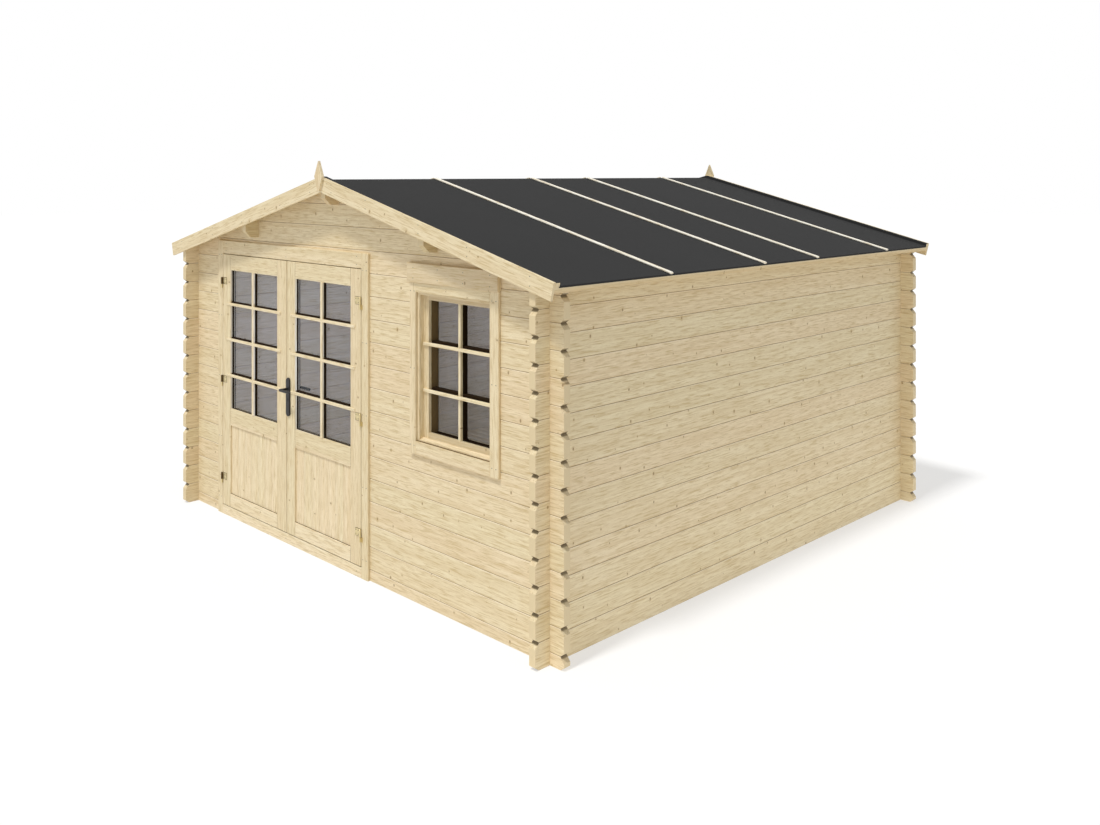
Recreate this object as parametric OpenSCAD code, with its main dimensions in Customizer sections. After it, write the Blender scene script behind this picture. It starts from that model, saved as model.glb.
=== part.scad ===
// Wooden garden house: log walls with saddle corners, a low gable roof under felt,
// a glazed double door and one window. Millimetres, Z up, standing on z = 0.
// The origin is the middle of the plan, and the front faces -Y.

/* [Logs] */
// Height of one log course
log_h = 138; // [110:1:160]
// Thickness of the wall logs
log_t = 45; // [34:1:70]
// Length of the log ends past the corner
tail = 100; // [70:5:160]
// Length of the bevel on a log end, along the log
end_bevel_l = 26; // [10:1:40]
// Height of the bevel on a log end below each joint
end_bevel_h = 31; // [15:1:50]
// Height of the bevel on a log end above each joint
end_bevel_up = 19; // [10:1:50]
// Depth of the V joint between two logs
joint_v = 3; // [1:0.5:5]

/* [Walls] */
// Width over the side walls
cabin_w = 3800; // [3500:10:4800]
// Depth over the front and back walls
cabin_d = 3800; // [3000:10:5000]
// Courses in a side wall
side_courses = 14; // [13:1:17]

/* [Roof] */
// Roof pitch in degrees
pitch = 14; // [10:0.5:20]
// Overhang of the roof boards past the side walls
eaves_over = 138; // [110:1:250]
// Overhang of the roof boards past the front and back walls
gable_over = 105; // [105:1:250]
// Thickness of the roof boards
board_t = 18; // [16:1:24]
// Thickness of the roof felt
felt_t = 3; // [2:0.5:5]
// Depth of the bargeboards
barge_h = 95; // [80:1:140]
// Thickness of the bargeboards
barge_t = 15; // [15:1:25]
// Distance of the side purlins from the ridge
purlin_x = 985; // [800:5:1200]
// Height of a purlin
purlin_h = 138; // [110:1:160]
// Width of a batten on the felt
batten_w = 24; // [18:1:40]
// Thickness of a batten on the felt
batten_t = 12; // [8:1:20]

/* [Door] */
// Middle of the double door, from the middle of the front
door_x = -577; // [-620:1:-400]
// Clear width between the door jambs
door_w = 1738; // [1500:1:1760]
// Height of the door leaves
leaf_h = 1814; // [1650:1:1850]
// Thickness of the door leaves
leaf_t = 40; // [36:1:46]
// Height of the threshold
sill_h = 66; // [64:1:75]
// Width of the leaf stiles
stile_w = 110; // [90:1:130]
// Distance of the gap between the leaves from the middle of the door
meeting_shift = 10; // [0:1:15]
// Thickness of the glass
glass_t = 4; // [4:1:6]
// Width of the casing boards beside the door
door_trim_w = 68; // [50:1:75]
// Thickness of the casing boards
trim_t = 17; // [14:1:20]

/* [Window] */
// Middle of the window, from the middle of the front
window_x = 1146; // [1100:1:1180]
// Clear width between the casing boards
window_w = 638; // [500:1:680]
// Width of the casing board left of the window
left_trim_w = 54; // [45:1:75]
// Width of the casing board right of the window
right_trim_w = 71; // [45:1:75]
// Height of the window's lower casing edge above the ground
window_z = 938; // [900:1:1000]
// Clear height between the casing boards
window_h = 852; // [700:1:880]

/* [Hidden] */

// Colours of the materials
pine = "#e3d0a2";
pine_shade = "#d8c596";
felt_grey = "#424242";
glass_grey = "#8f8f91";
black_metal = "#202022";
zinc = "#c9b88a";

// A small amount by which cutting shapes pass the faces they cut
cut = 1;

// Wall planes and heights
half_w = cabin_w / 2;
half_d = cabin_d / 2;
side_top = side_courses * log_h;
// The front and back walls start with half a log, so that the corners interlock
eaves_joint = (side_courses - 0.5) * log_h;

// Roof planes. Everything under the roof is measured from the underside of the boards.
slope = tan(pitch);
sheet = board_t + felt_t;
// Underside of the boards on the side wall's outer face, a little above its last course
bearing_z = side_top + 5;
under_ridge = bearing_z + half_w * slope;
ridge_z = under_ridge + sheet / cos(pitch);
// Clearance between the boards and the walls and purlins that carry them
roof_seat = 0.1;
roof_x = half_w + eaves_over;
roof_y = half_d + gable_over;
function under_z(x) = under_ridge - abs(x) * slope;

// Strips on the roof edges
edge_strip_w = 28;
edge_strip_h = 18;
slat_w = 34;
slat_t = 18;
slat_joint_y = -1380;
slat_gap = 1;
felt_lip = 11;
batten_ys = [-1110, -200, 410, 1345];
batten_end = 12;

// Finial boards
finial_w = 88;
finial_t = 16;
finial_rise = 97;
finial_drop = 90;
finial_foot = 14;

// Purlins
purlin_t = log_t;
purlin_bevel = 42;

// Door frame, from the leaves outward
edge_gap = 5;
meeting_gap = 7;
jamb_t = 40;
jamb_depth = 62;
stop_w = 14;
stop_gap = 5;
fit = 2;
leaf_w = (door_w - 2 * edge_gap - meeting_gap) / 2;
leaf_z = sill_h + edge_gap;
leaf_top = leaf_z + leaf_h;
head_z = leaf_top + edge_gap;
wall_face = -half_d;
trim_face = wall_face - trim_t;
leaf_face = trim_face;
leaf_back = leaf_face + leaf_t;
head_board_h = 94;
door_cut_w = door_w + 2 * jamb_t + 2 * fit;
door_cut_top = head_z + jamb_t + fit;

// Glass and panel in a leaf, measured from the bottom of the leaf
bottom_rail = 94;
panel_h = 493;
middle_rail = 120;
top_rail = 111;
glass_z = bottom_rail + panel_h + middle_rail;
glass_h = leaf_h - glass_z - top_rail;
groove = 10;
glass_in = 28;
panel_in = 9;
panel_t = 18;

// Hinges, three to a leaf: a pin on the frame and a knuckle on the leaf
hinge_zs = [252, 957, 1668];
knuckle_r = 6.5;
knuckle_h = 48;
barrel_h = 28;
pin_r = 3;
pin_gap = 0.25;
pin_over = 22;
hinge_plate_w = 60;
hinge_plate_t = 3;
frame_plate_w = 14;
hinge_rest = 1;
hinge_x = door_w / 2 - 2;
hinge_y = trim_face - 8;

// Handle set on the right leaf
handle_z = 1037;
plate_w = 44;
plate_h = 255;
plate_t = 11;
plate_top = 73;
plate_edge = 1;
handle_x = door_x + meeting_shift + meeting_gap / 2 + plate_edge + plate_w / 2;
lever_l = 122;
lever_r = 9.5;
lever_out = 70;
lever_in = 40;
neck_r = 8;
spindle_gap = 0.5;
keyhole_drop = 72;
keyhole_r = 5;

// Window frame and sash
frame_show = 16;
frame_t = 38;
frame_depth = 83;
sash_in = 34;
sash_w = 34;
sash_t = 76;
window_glass_in = 69;
window_groove = 6;
window_sill_fall = 10;
lower_trim_h = 78;
upper_trim_h = 55;
window_head_w = 781;
window_head_shift = 4;
window_head_h = 112;
window_head_t = 28;
frame_w = window_w + 2 * (frame_t - frame_show);
frame_h = window_h + 2 * (frame_t - frame_show);
sash_open_w = window_w - 2 * frame_show;
sash_open_h = window_h - 2 * frame_show;

// Floor
joist_h = 45;
joist_w = 45;
joist_count = 7;
floor_t = 18;
floor_gap = 5;

// ---- Shapes that several pieces share ----

// A block given by its two opposite corners
module block(x0, x1, y0, y1, z0, z1) {
    translate([x0, y0, z0]) cube([x1 - x0, y1 - y0, z1 - z0]);
}

// An outline of the XZ plane, drawn out from y0 to y1
module drawn_y(y0, y1) {
    translate([0, y1, 0]) rotate([90, 0, 0]) linear_extrude(height = y1 - y0) children();
}

// Outline across a wall from z0 to z1, its logs bevelled at both ends and at each joint.
// The outer face is at u = 0 and the inner face at u = log_t.
module log_stack(z0, z1, joints) {
    outer = [for (z = concat([z0], joints, [z1])) each [
        if (z > z0) [0, z - joint_v],
        [joint_v, z],
        if (z < z1) [0, z + joint_v]
    ]];
    inner = [for (i = [len(outer) - 1:-1:0]) [log_t - outer[i][0], outer[i][1]]];
    polygon(concat(outer, inner));
}

// Joint heights of the walls along X, strictly between z0 and z1
function x_joints(z0, z1) =
    [for (i = [0:side_courses + 4]) let (z = (i + 0.5) * log_h) if (z > z0 + 1 && z < z1 - 1) z];
// Joint heights of the walls along Y
function y_joints(z1) = [for (j = [1:side_courses]) let (z = j * log_h) if (z < z1 - 1) z];

// A wall along X with its outer face on y = -half_d
module x_wall(x0, x1, z0, z1) {
    translate([x0, -half_d, 0]) rotate([90, 0, 90]) linear_extrude(height = x1 - x0)
        log_stack(z0, z1, x_joints(z0, z1));
}

// The bevels cut into log ends at x = end, where dir points out of the log
module x_end_bevels(end, dir, heights) {
    for (z = heights) drawn_y(-half_d - cut, -half_d + log_t + cut)
        polygon([
            [end + dir * cut, z - end_bevel_h], [end, z - end_bevel_h],
            [end - dir * end_bevel_l, z],
            [end, z + end_bevel_up], [end + dir * cut, z + end_bevel_up]
        ]);
}

// The saddle notches at both corners of the front wall, where side logs pass through
module x_saddles(first, last) {
    for (s = [-1, 1], j = [first:last]) {
        z = (j + 0.25) * log_h;
        mid = s * (half_w - log_t / 2);
        block(mid - log_t / 2, mid + log_t / 2, -half_d - cut, -half_d + log_t + cut, z, z + log_h / 2);
    }
}

// The wedge of space above the tops of the walls and purlins
module above_roof(y0, y1) {
    high = under_ridge + 500;
    low = under_z(2 * half_w) - roof_seat;
    drawn_y(y0, y1)
        polygon([
            [0, under_ridge - roof_seat], [2 * half_w, low], [2 * half_w, high],
            [-2 * half_w, high], [-2 * half_w, low]
        ]);
}

// ---- Log walls ----

// Lower part of the front wall, up to the last joint under the eaves
module front_lower() {
    joints = concat([0], x_joints(0, eaves_joint), [eaves_joint]);
    difference() {
        x_wall(-half_w - tail, half_w + tail, 0, eaves_joint);
        x_end_bevels(half_w + tail, 1, joints);
        x_end_bevels(-half_w - tail, -1, joints);
        x_saddles(0, side_courses - 1);
        children();
    }
}

// Gable from the eaves joint to the roof, notched for the three purlins
module gable_wall() {
    difference() {
        x_wall(-half_w - tail, half_w + tail, eaves_joint, ridge_z);
        above_roof(-half_d - cut, -half_d + log_t + cut);
        x_end_bevels(half_w + tail, 1, [eaves_joint]);
        x_end_bevels(-half_w - tail, -1, [eaves_joint]);
        x_saddles(side_courses - 1, side_courses - 1);
        for (x = [-purlin_x, 0, purlin_x])
            block(
                x - purlin_t / 2, x + purlin_t / 2,
                -half_d - cut, -half_d + log_t + cut,
                under_z(x) - purlin_h, ridge_z
            );
        children();
    }
}

// Space that the door frame takes in the front wall
module door_cut() {
    block(
        door_x - door_cut_w / 2, door_x + door_cut_w / 2,
        -half_d - cut, -half_d + log_t + cut, -cut, door_cut_top
    );
}

module front_wall_left() {
    color(pine) front_lower() {
        door_cut();
        block(door_x, 2 * half_w, -half_d - cut, -half_d + log_t + cut, -cut, ridge_z);
    }
}

module front_wall_right() {
    color(pine) front_lower() {
        door_cut();
        block(-2 * half_w, door_x, -half_d - cut, -half_d + log_t + cut, -cut, ridge_z);
        block(
            window_x - frame_w / 2, window_x + frame_w / 2,
            -half_d - cut, -half_d + log_t + cut,
            window_z + frame_show - frame_t, window_z + frame_show - frame_t + frame_h
        );
    }
}

module front_gable() {
    color(pine) gable_wall() door_cut();
}

module back_wall() {
    color(pine) mirror([0, 1, 0]) front_lower();
}

module back_gable() {
    color(pine) mirror([0, 1, 0]) gable_wall();
}

// A side wall with its outer face on x = half_w
module side_wall() {
    joints = y_joints(side_top);
    end = half_d + tail;
    difference() {
        translate([half_w, -end, 0]) rotate([90, 0, 180])
            linear_extrude(height = 2 * end) log_stack(0, ridge_z, joints);
        above_roof(-end - cut, end + cut);
        // Bevels on the log ends
        for (s = [-1, 1], z = concat([0], joints))
            translate([half_w - log_t - cut, 0, 0]) rotate([90, 0, 90])
                linear_extrude(height = log_t + 2 * cut)
                    polygon([
                        [s * (end + cut), z - end_bevel_h], [s * end, z - end_bevel_h],
                        [s * (end - end_bevel_l), z],
                        [s * end, z + end_bevel_up], [s * (end + cut), z + end_bevel_up]
                    ]);
        // Saddle notches, where the logs of the front and back walls pass through
        for (s = [-1, 1], i = [0:side_courses]) {
            mid = s * (half_d - log_t / 2);
            block(
                half_w - log_t - cut, half_w + cut,
                mid - log_t / 2, mid + log_t / 2,
                (i - 0.25) * log_h, (i + 0.25) * log_h
            );
        }
    }
}

module right_wall() {
    color(pine) side_wall();
}

module left_wall() {
    color(pine) mirror([1, 0, 0]) side_wall();
}

// ---- Roof ----

// A purlin under the boards at x, its lower front and back corners bevelled
module purlin(x) {
    bottom = under_z(x) - purlin_h;
    end = half_d + tail;
    difference() {
        block(x - purlin_t / 2, x + purlin_t / 2, -end, end, bottom, ridge_z);
        above_roof(-end - cut, end + cut);
        for (s = [-1, 1])
            translate([x - purlin_t / 2 - cut, 0, 0]) rotate([90, 0, 90])
                linear_extrude(height = purlin_t + 2 * cut)
                    polygon([
                        [s * (end + cut), bottom - cut], [s * (end - purlin_bevel), bottom - cut],
                        [s * (end - purlin_bevel), bottom],
                        [s * end, bottom + purlin_bevel], [s * (end + cut), bottom + purlin_bevel]
                    ]);
    }
}

module ridge_purlin() {
    color(pine_shade) purlin(0);
}

module left_purlin() {
    color(pine_shade) purlin(-purlin_x);
}

module right_purlin() {
    color(pine_shade) purlin(purlin_x);
}

// Frame of the right slope: X runs down the slope from the ridge line, Z is square to it
module on_slope() {
    translate([0, 0, under_ridge]) rotate([0, pitch, 0]) children();
}

// Length of the slope along the underside of the boards
slope_l = roof_x / cos(pitch);

// A layer on the right slope: from below to above the underside of the boards, mitred
// on the ridge line
module slope_layer(s0, s1, y0, y1, below, above) {
    intersection() {
        on_slope() block(s0, s1, y0, y1, below, above);
        block(0, 2 * half_w, y0 - cut, y1 + cut, 0, 2 * ridge_z);
    }
}

module roof_boards_right() {
    color(pine) slope_layer(-sheet, slope_l, -roof_y, roof_y, 0, board_t);
}

module roof_boards_left() {
    color(pine) mirror([1, 0, 0]) slope_layer(-sheet, slope_l, -roof_y, roof_y, 0, board_t);
}

// One half of the felt: the sheet, the lip over the eaves and the folds over the edge strips
module felt_half() {
    inner = roof_y - edge_strip_w;
    strip_top = board_t + edge_strip_h;
    slope_layer(-sheet, slope_l + felt_t, -inner, inner, board_t, sheet);
    slope_layer(slope_l, slope_l + felt_t, -inner, inner, sheet - felt_lip, sheet);
    for (s = [-1, 1]) {
        fold = s > 0 ? inner - felt_t : -inner;
        slope_layer(-2 * sheet, slope_l, fold, fold + felt_t, board_t, strip_top + felt_t);
        over = s > 0 ? inner - felt_t : -roof_y;
        slope_layer(
            -2 * sheet, slope_l, over, over + edge_strip_w + felt_t, strip_top, strip_top + felt_t
        );
    }
}

module roof_felt() {
    color(felt_grey) union() {
        felt_half();
        mirror([1, 0, 0]) felt_half();
    }
}

module felt_battens() {
    color(pine) for (side = [0, 1], y = batten_ys) mirror([side, 0, 0])
        slope_layer(4, slope_l + batten_end, y - batten_w / 2, y + batten_w / 2, sheet, sheet + batten_t);
}

module gable_edge_strips() {
    inner = roof_y - edge_strip_w;
    color(pine) for (side = [0, 1], back = [0, 1]) mirror([side, 0, 0]) mirror([0, back, 0])
        slope_layer(
            2, slope_l + felt_t, -roof_y, -inner, board_t, board_t + edge_strip_h
        );
}

// Slats under the edge of the boards along both eaves, each in two lengths
module eaves_slats() {
    color(pine) for (side = [0, 1], run = [[-roof_y, slat_joint_y], [slat_joint_y + slat_gap, roof_y]])
        mirror([side, 0, 0])
            slope_layer(slope_l - slat_w, slope_l, run[0], run[1], -slat_t, 0);
}

// The right front bargeboard, its top edge level with the felt over the edge strips
module bargeboard() {
    top = board_t + edge_strip_h + felt_t;
    slope_layer(-2 * top, slope_l, -roof_y - barge_t, -roof_y, top - barge_h, top);
}

module front_bargeboard_right() {
    color(pine) bargeboard();
}

module front_bargeboard_left() {
    color(pine) mirror([1, 0, 0]) bargeboard();
}

module back_bargeboard_right() {
    color(pine) mirror([0, 1, 0]) bargeboard();
}

module back_bargeboard_left() {
    color(pine) mirror([1, 0, 0]) mirror([0, 1, 0]) bargeboard();
}

// Kite-shaped board over the joint of two bargeboards
module finial() {
    shoulder = under_ridge + (board_t + edge_strip_h + felt_t) / cos(pitch);
    drawn_y(-roof_y - barge_t - finial_t, -roof_y - barge_t)
        polygon([
            [0, shoulder + finial_rise],
            [-finial_w / 2, shoulder],
            [-finial_foot / 2, shoulder - finial_drop],
            [finial_foot / 2, shoulder - finial_drop],
            [finial_w / 2, shoulder]
        ]);
}

module front_finial() {
    color(pine) finial();
}

module back_finial() {
    color(pine) mirror([0, 1, 0]) finial();
}

// ---- Door frame ----

// Jambs and head in one, with the stop that the leaves close against
module door_frame() {
    outer = door_w / 2 + jamb_t;
    back = wall_face + jamb_depth;
    stop_y = leaf_back + stop_gap;
    color(pine) translate([door_x, 0, 0]) difference() {
        block(-outer, outer, wall_face, back, 0, head_z + jamb_t);
        block(-door_w / 2, door_w / 2, wall_face - cut, stop_y, -cut, head_z);
        block(
            -door_w / 2 + stop_w, door_w / 2 - stop_w,
            wall_face - cut, back + cut, -cut, head_z - stop_w
        );
    }
}

module door_side_trims() {
    color(pine) for (s = [-1, 1]) translate([door_x + s * (door_w + door_trim_w) / 2, 0, 0])
        block(
            -door_trim_w / 2, door_trim_w / 2, trim_face, wall_face, 0, head_z + head_board_h
        );
}

module door_head_board() {
    color(pine) translate([door_x, 0, 0])
        block(-door_w / 2, door_w / 2, trim_face, wall_face, head_z, head_z + head_board_h);
}

module door_threshold() {
    color(pine) translate([door_x, 0, 0]) difference() {
        block(-door_w / 2, door_w / 2, trim_face, wall_face + jamb_depth, 0, sill_h);
        for (s = [-1, 1]) translate([s * (door_w - stop_w) / 2, 0, 0])
            block(
                -stop_w / 2, stop_w / 2, leaf_back + stop_gap,
                wall_face + jamb_depth + cut, -cut, sill_h + cut
            );
    }
}

// ---- Door leaves, drawn for the right leaf about the door's middle ----

// Hinge edge of a leaf, and the sides of its openings
leaf_x1 = meeting_gap / 2 + leaf_w;
light_x0 = meeting_gap / 2 + stile_w;
light_x1 = leaf_x1 - stile_w;

// A leaf whose meeting edge stands shift off its place by the middle of the door
module leaf_frame(shift) {
    difference() {
        block(meeting_gap / 2 + shift, leaf_x1, leaf_face, leaf_back, leaf_z, leaf_top);
        // Opening of the glass, with the groove that holds it
        block(
            light_x0, light_x1, leaf_face - cut, leaf_back + cut,
            leaf_z + glass_z, leaf_z + glass_z + glass_h
        );
        leaf_pane();
        // Opening of the panel, with its groove
        block(
            light_x0, light_x1, leaf_face - cut, leaf_back + cut,
            leaf_z + bottom_rail, leaf_z + bottom_rail + panel_h
        );
        leaf_board();
    }
}

module leaf_pane() {
    block(
        light_x0 - groove, light_x1 + groove,
        leaf_face + glass_in, leaf_face + glass_in + glass_t,
        leaf_z + glass_z - groove, leaf_z + glass_z + glass_h + groove
    );
}

module leaf_board() {
    block(
        light_x0 - groove, light_x1 + groove,
        leaf_face + panel_in, leaf_face + panel_in + panel_t,
        leaf_z + bottom_rail - groove, leaf_z + bottom_rail + panel_h + groove
    );
}

// The knuckles on a leaf, each with its plate on the leaf's face
module leaf_hinges() {
    for (z = hinge_zs) translate([hinge_x, hinge_y, z + hinge_rest]) difference() {
        union() {
            cylinder(r = knuckle_r, h = knuckle_h, $fn = 48);
            block(
                -hinge_plate_w, -knuckle_r / 2,
                leaf_face - hinge_plate_t - hinge_y, leaf_face - hinge_y, 0, knuckle_h
            );
            block(
                -knuckle_r, -knuckle_r / 2, 0, leaf_face - hinge_y, 0, knuckle_h
            );
        }
        translate([0, 0, -cut]) cylinder(r = pin_r + pin_gap, h = pin_over + 2 * cut, $fn = 48);
    }
}

// The pins on the frame, each with a plate on the face of the casing
module frame_pins() {
    for (z = hinge_zs) translate([hinge_x, hinge_y, z - barrel_h]) {
        cylinder(r = knuckle_r, h = barrel_h, $fn = 48);
        cylinder(r = pin_r, h = barrel_h + pin_over, $fn = 48);
        block(2 + cut, 2 + frame_plate_w, trim_face - hinge_plate_t - hinge_y, trim_face - hinge_y, 0, barrel_h);
        block(2 + cut, knuckle_r, -hinge_plate_t, trim_face - hinge_y, 0, barrel_h);
    }
}

module on_door_right() {
    translate([door_x, 0, 0]) children();
}

module on_door_left() {
    translate([door_x, 0, 0]) mirror([1, 0, 0]) children();
}

module door_hinge_pins() {
    color(zinc) union() {
        on_door_right() frame_pins();
        on_door_left() frame_pins();
    }
}

module left_door_leaf() {
    color(pine) on_door_left() leaf_frame(-meeting_shift);
}

module left_door_panel() {
    color(pine) on_door_left() leaf_board();
}

module left_door_glass() {
    color(glass_grey) on_door_left() leaf_pane();
}

module left_door_hinges() {
    color(zinc) on_door_left() leaf_hinges();
}

module right_door_leaf() {
    color(pine) difference() {
        on_door_right() leaf_frame(meeting_shift);
        // Bore of the handle's spindle
        translate([handle_x, leaf_face - cut, handle_z]) rotate([-90, 0, 0])
            cylinder(r = neck_r + spindle_gap, h = leaf_t + 2 * cut, $fn = 48);
    }
}

module right_door_panel() {
    color(pine) on_door_right() leaf_board();
}

module right_door_glass() {
    color(glass_grey) on_door_right() leaf_pane();
}

module right_door_hinges() {
    color(zinc) on_door_right() leaf_hinges();
}

// A long plate with round ends, its back on y = 0, pierced for the lever and the key
module long_plate() {
    end_z = plate_w / 2;
    translate([0, 0, plate_top - plate_h]) drawn_y(-plate_t, 0) difference() {
        union() {
            translate([-plate_w / 2, end_z]) square([plate_w, plate_h - plate_w]);
            translate([0, end_z]) circle(r = end_z, $fn = 64);
            translate([0, plate_h - end_z]) circle(r = end_z, $fn = 64);
        }
        translate([0, plate_h - plate_top]) circle(r = neck_r + spindle_gap, $fn = 48);
        translate([0, plate_h - plate_top - keyhole_drop]) circle(r = keyhole_r, $fn = 32);
        translate([-keyhole_r / 2, plate_h - plate_top - keyhole_drop - 3 * keyhole_r])
            square([keyhole_r, 3 * keyhole_r]);
    }
}

module handle_plates() {
    color(black_metal) union() {
        translate([handle_x, leaf_face, handle_z]) long_plate();
        translate([handle_x, leaf_back, handle_z]) mirror([0, 1, 0]) long_plate();
    }
}

// A round bar along Z with round ends, from the spindle to its tip
module lever() {
    rotate_extrude($fn = 48) intersection() {
        union() {
            circle(r = lever_r, $fn = 48);
            square([lever_r, lever_l]);
            translate([0, lever_l]) circle(r = lever_r, $fn = 48);
        }
        translate([0, -lever_r]) square([lever_r, lever_l + 2 * lever_r]);
    }
}

// Both levers on one spindle through the leaf, pointing to the hinge side
module handle_levers() {
    neck0 = leaf_face - lever_out;
    neck1 = leaf_back + lever_in;
    color(black_metal) translate([handle_x, 0, handle_z]) union() {
        translate([0, neck0, 0]) rotate([-90, 0, 0]) cylinder(r = neck_r, h = neck1 - neck0, $fn = 48);
        for (y = [neck0, neck1]) translate([0, y, 0]) rotate([0, 90, 0]) lever();
    }
}

// ---- Window ----

// Heights of the window's frame and of the opening in it
frame_z0 = window_z + frame_show - frame_t;
open_z0 = window_z + frame_show;
sash_y = wall_face + sash_in;

module window_opening(y0, y1, grow) {
    block(
        window_x - sash_open_w / 2 - grow, window_x + sash_open_w / 2 + grow,
        y0, y1, open_z0 - grow, open_z0 + sash_open_h + grow
    );
}

module window_frame() {
    color(pine) difference() {
        block(
            window_x - frame_w / 2, window_x + frame_w / 2,
            wall_face, wall_face + frame_depth, frame_z0, frame_z0 + frame_h
        );
        window_opening(wall_face - cut, wall_face + frame_depth + cut, 0);
        // Fall of the sill in front of the sash
        translate([window_x - sash_open_w / 2, 0, 0]) rotate([90, 0, 90])
            linear_extrude(height = sash_open_w)
                polygon([
                    [wall_face - cut, open_z0 - window_sill_fall],
                    [sash_y, open_z0], [sash_y, open_z0 + cut], [wall_face - cut, open_z0 + cut]
                ]);
    }
}

module window_sash() {
    color(pine) difference() {
        window_opening(sash_y, sash_y + sash_t, 0);
        window_opening(sash_y - cut, sash_y + sash_t + cut, -sash_w);
        window_pane();
    }
}

module window_pane() {
    window_opening(
        sash_y + window_glass_in, sash_y + window_glass_in + glass_t, window_groove - sash_w
    );
}

module window_glass() {
    color(glass_grey) window_pane();
}

module window_side_trims() {
    color(pine) for (x = [window_x - window_w / 2 - left_trim_w, window_x + window_w / 2])
        block(
            x, x + (x < window_x ? left_trim_w : right_trim_w), trim_face, wall_face,
            window_z - lower_trim_h, window_z + window_h + upper_trim_h
        );
}

module window_end_trims() {
    color(pine) translate([window_x, 0, 0]) union() {
        block(-window_w / 2, window_w / 2, trim_face, wall_face, window_z - lower_trim_h, window_z);
        block(
            -window_w / 2, window_w / 2, trim_face, wall_face,
            window_z + window_h, window_z + window_h + upper_trim_h
        );
    }
}

module window_head_board() {
    base = window_z + window_h + upper_trim_h;
    color(pine) translate([window_x + window_head_shift, 0, 0]) block(
        -window_head_w / 2, window_head_w / 2,
        wall_face - window_head_t, wall_face, base, base + window_head_h
    );
}

// ---- Floor ----

module floor_boards() {
    inner_x = half_w - log_t - floor_gap;
    inner_y = half_d - log_t - floor_gap;
    frame_back = wall_face + jamb_depth + fit;
    color(pine) difference() {
        block(-inner_x, inner_x, -inner_y, inner_y, joist_h, joist_h + floor_t);
        // The boards stop at the back of the threshold and the frame
        block(
            door_x - door_cut_w / 2, door_x + door_cut_w / 2,
            -half_d, frame_back, 0, joist_h + floor_t + cut
        );
    }
}

// Joists from the front wall or the threshold to the back wall
module floor_joists() {
    inner_x = half_w - log_t - floor_gap;
    inner_y = half_d - log_t;
    pace = (2 * inner_x - joist_w) / (joist_count - 1);
    outer = door_w / 2 + jamb_t;
    color(pine_shade) difference() {
        for (i = [0:joist_count - 1]) {
            x = -inner_x + i * pace;
            block(x, x + joist_w, -inner_y, inner_y, 0, joist_h);
        }
        block(
            door_x - outer, door_x + outer, wall_face, wall_face + jamb_depth, -cut, joist_h + cut
        );
    }
}

front_wall_left();
front_wall_right();
front_gable();
back_wall();
back_gable();
left_wall();
right_wall();
ridge_purlin();
left_purlin();
right_purlin();
roof_boards_left();
roof_boards_right();
roof_felt();
felt_battens();
gable_edge_strips();
eaves_slats();
front_bargeboard_left();
front_bargeboard_right();
back_bargeboard_left();
back_bargeboard_right();
front_finial();
back_finial();
door_frame();
door_side_trims();
door_head_board();
door_threshold();
door_hinge_pins();
left_door_leaf();
left_door_panel();
left_door_glass();
left_door_hinges();
right_door_leaf();
right_door_panel();
right_door_glass();
right_door_hinges();
handle_plates();
handle_levers();
window_frame();
window_sash();
window_glass();
window_side_trims();
window_end_trims();
window_head_board();
floor_boards();
floor_joists();
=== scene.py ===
import math

import bmesh
import bpy
from mathutils import Matrix, Vector


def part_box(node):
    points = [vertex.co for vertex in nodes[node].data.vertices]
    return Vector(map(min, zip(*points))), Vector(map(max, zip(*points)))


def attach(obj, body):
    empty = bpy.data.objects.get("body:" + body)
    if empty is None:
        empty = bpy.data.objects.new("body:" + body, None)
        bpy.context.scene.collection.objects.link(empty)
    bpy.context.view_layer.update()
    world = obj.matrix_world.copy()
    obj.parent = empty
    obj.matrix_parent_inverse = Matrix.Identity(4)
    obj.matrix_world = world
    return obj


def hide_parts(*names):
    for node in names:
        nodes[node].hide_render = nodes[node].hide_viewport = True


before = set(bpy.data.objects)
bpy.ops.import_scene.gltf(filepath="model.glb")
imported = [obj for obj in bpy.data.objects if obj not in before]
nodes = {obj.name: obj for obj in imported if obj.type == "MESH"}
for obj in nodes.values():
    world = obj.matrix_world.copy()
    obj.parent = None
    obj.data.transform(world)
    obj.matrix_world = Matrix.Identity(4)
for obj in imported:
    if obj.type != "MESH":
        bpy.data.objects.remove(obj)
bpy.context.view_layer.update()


# ---- Log walls ----
# Spruce logs, planed on both faces and notched where they cross at the corners. They are laid
# dry on tongue and groove, so each joint shows as a fine V with a dark line in it.
LOG_HEIGHT = 0.138
# The front and back walls start with half a log, and the side walls with a whole one
FRONT_JOINT = LOG_HEIGHT / 2
SIDE_JOINT = 0.0
DRY_JOINT = 0.002
# Where the painted highlight on a log's upper edge starts and is lightest, counted down from the joint
EDGE_START = 0.007
EDGE_FULL = 0.003
# How far up or down the bevels sawn across the log ends face, each with its tolerance, and
# where the painted shade on them starts and is darkest, counted from the joint
BEVELS = ((0.643, 0.03), (-0.807, 0.04))
BEVEL_START = 0.014
BEVEL_FULL = 0.008

# Mean distance between knots along a log or board, how many such distances one board's knots
# may lie further along than the next one's, and the largest and smallest knot's radius
KNOT_PACE = 0.2
KNOT_SLIDE = 31.0
KNOT_RADIUS = 0.0095
SMALLEST_KNOT = 0.001
# A knot is a little taller than long
KNOT_OVAL = (1.25, 0.8, 0)
# Its dark core, and the wood it disturbs, counted in its radius
KNOT_CORE = 0.55
KNOT_REACH = 2.8
# How strongly the grain bends away from it
GRAIN_BEND = 0.8

# Growth bands about 20 mm apart, fibres 7 mm apart and 90 mm long, and hairs under 2 mm, as
# noise scales along, across and through the wood with each one's detail. Real fibres are
# under 1 mm, and are drawn this coarse so that they show.
GRAIN_LAYERS = (((1.6, 52, 52), 2.0), ((11, 150, 150), 1.5), ((60, 560, 560), 1.0))
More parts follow.
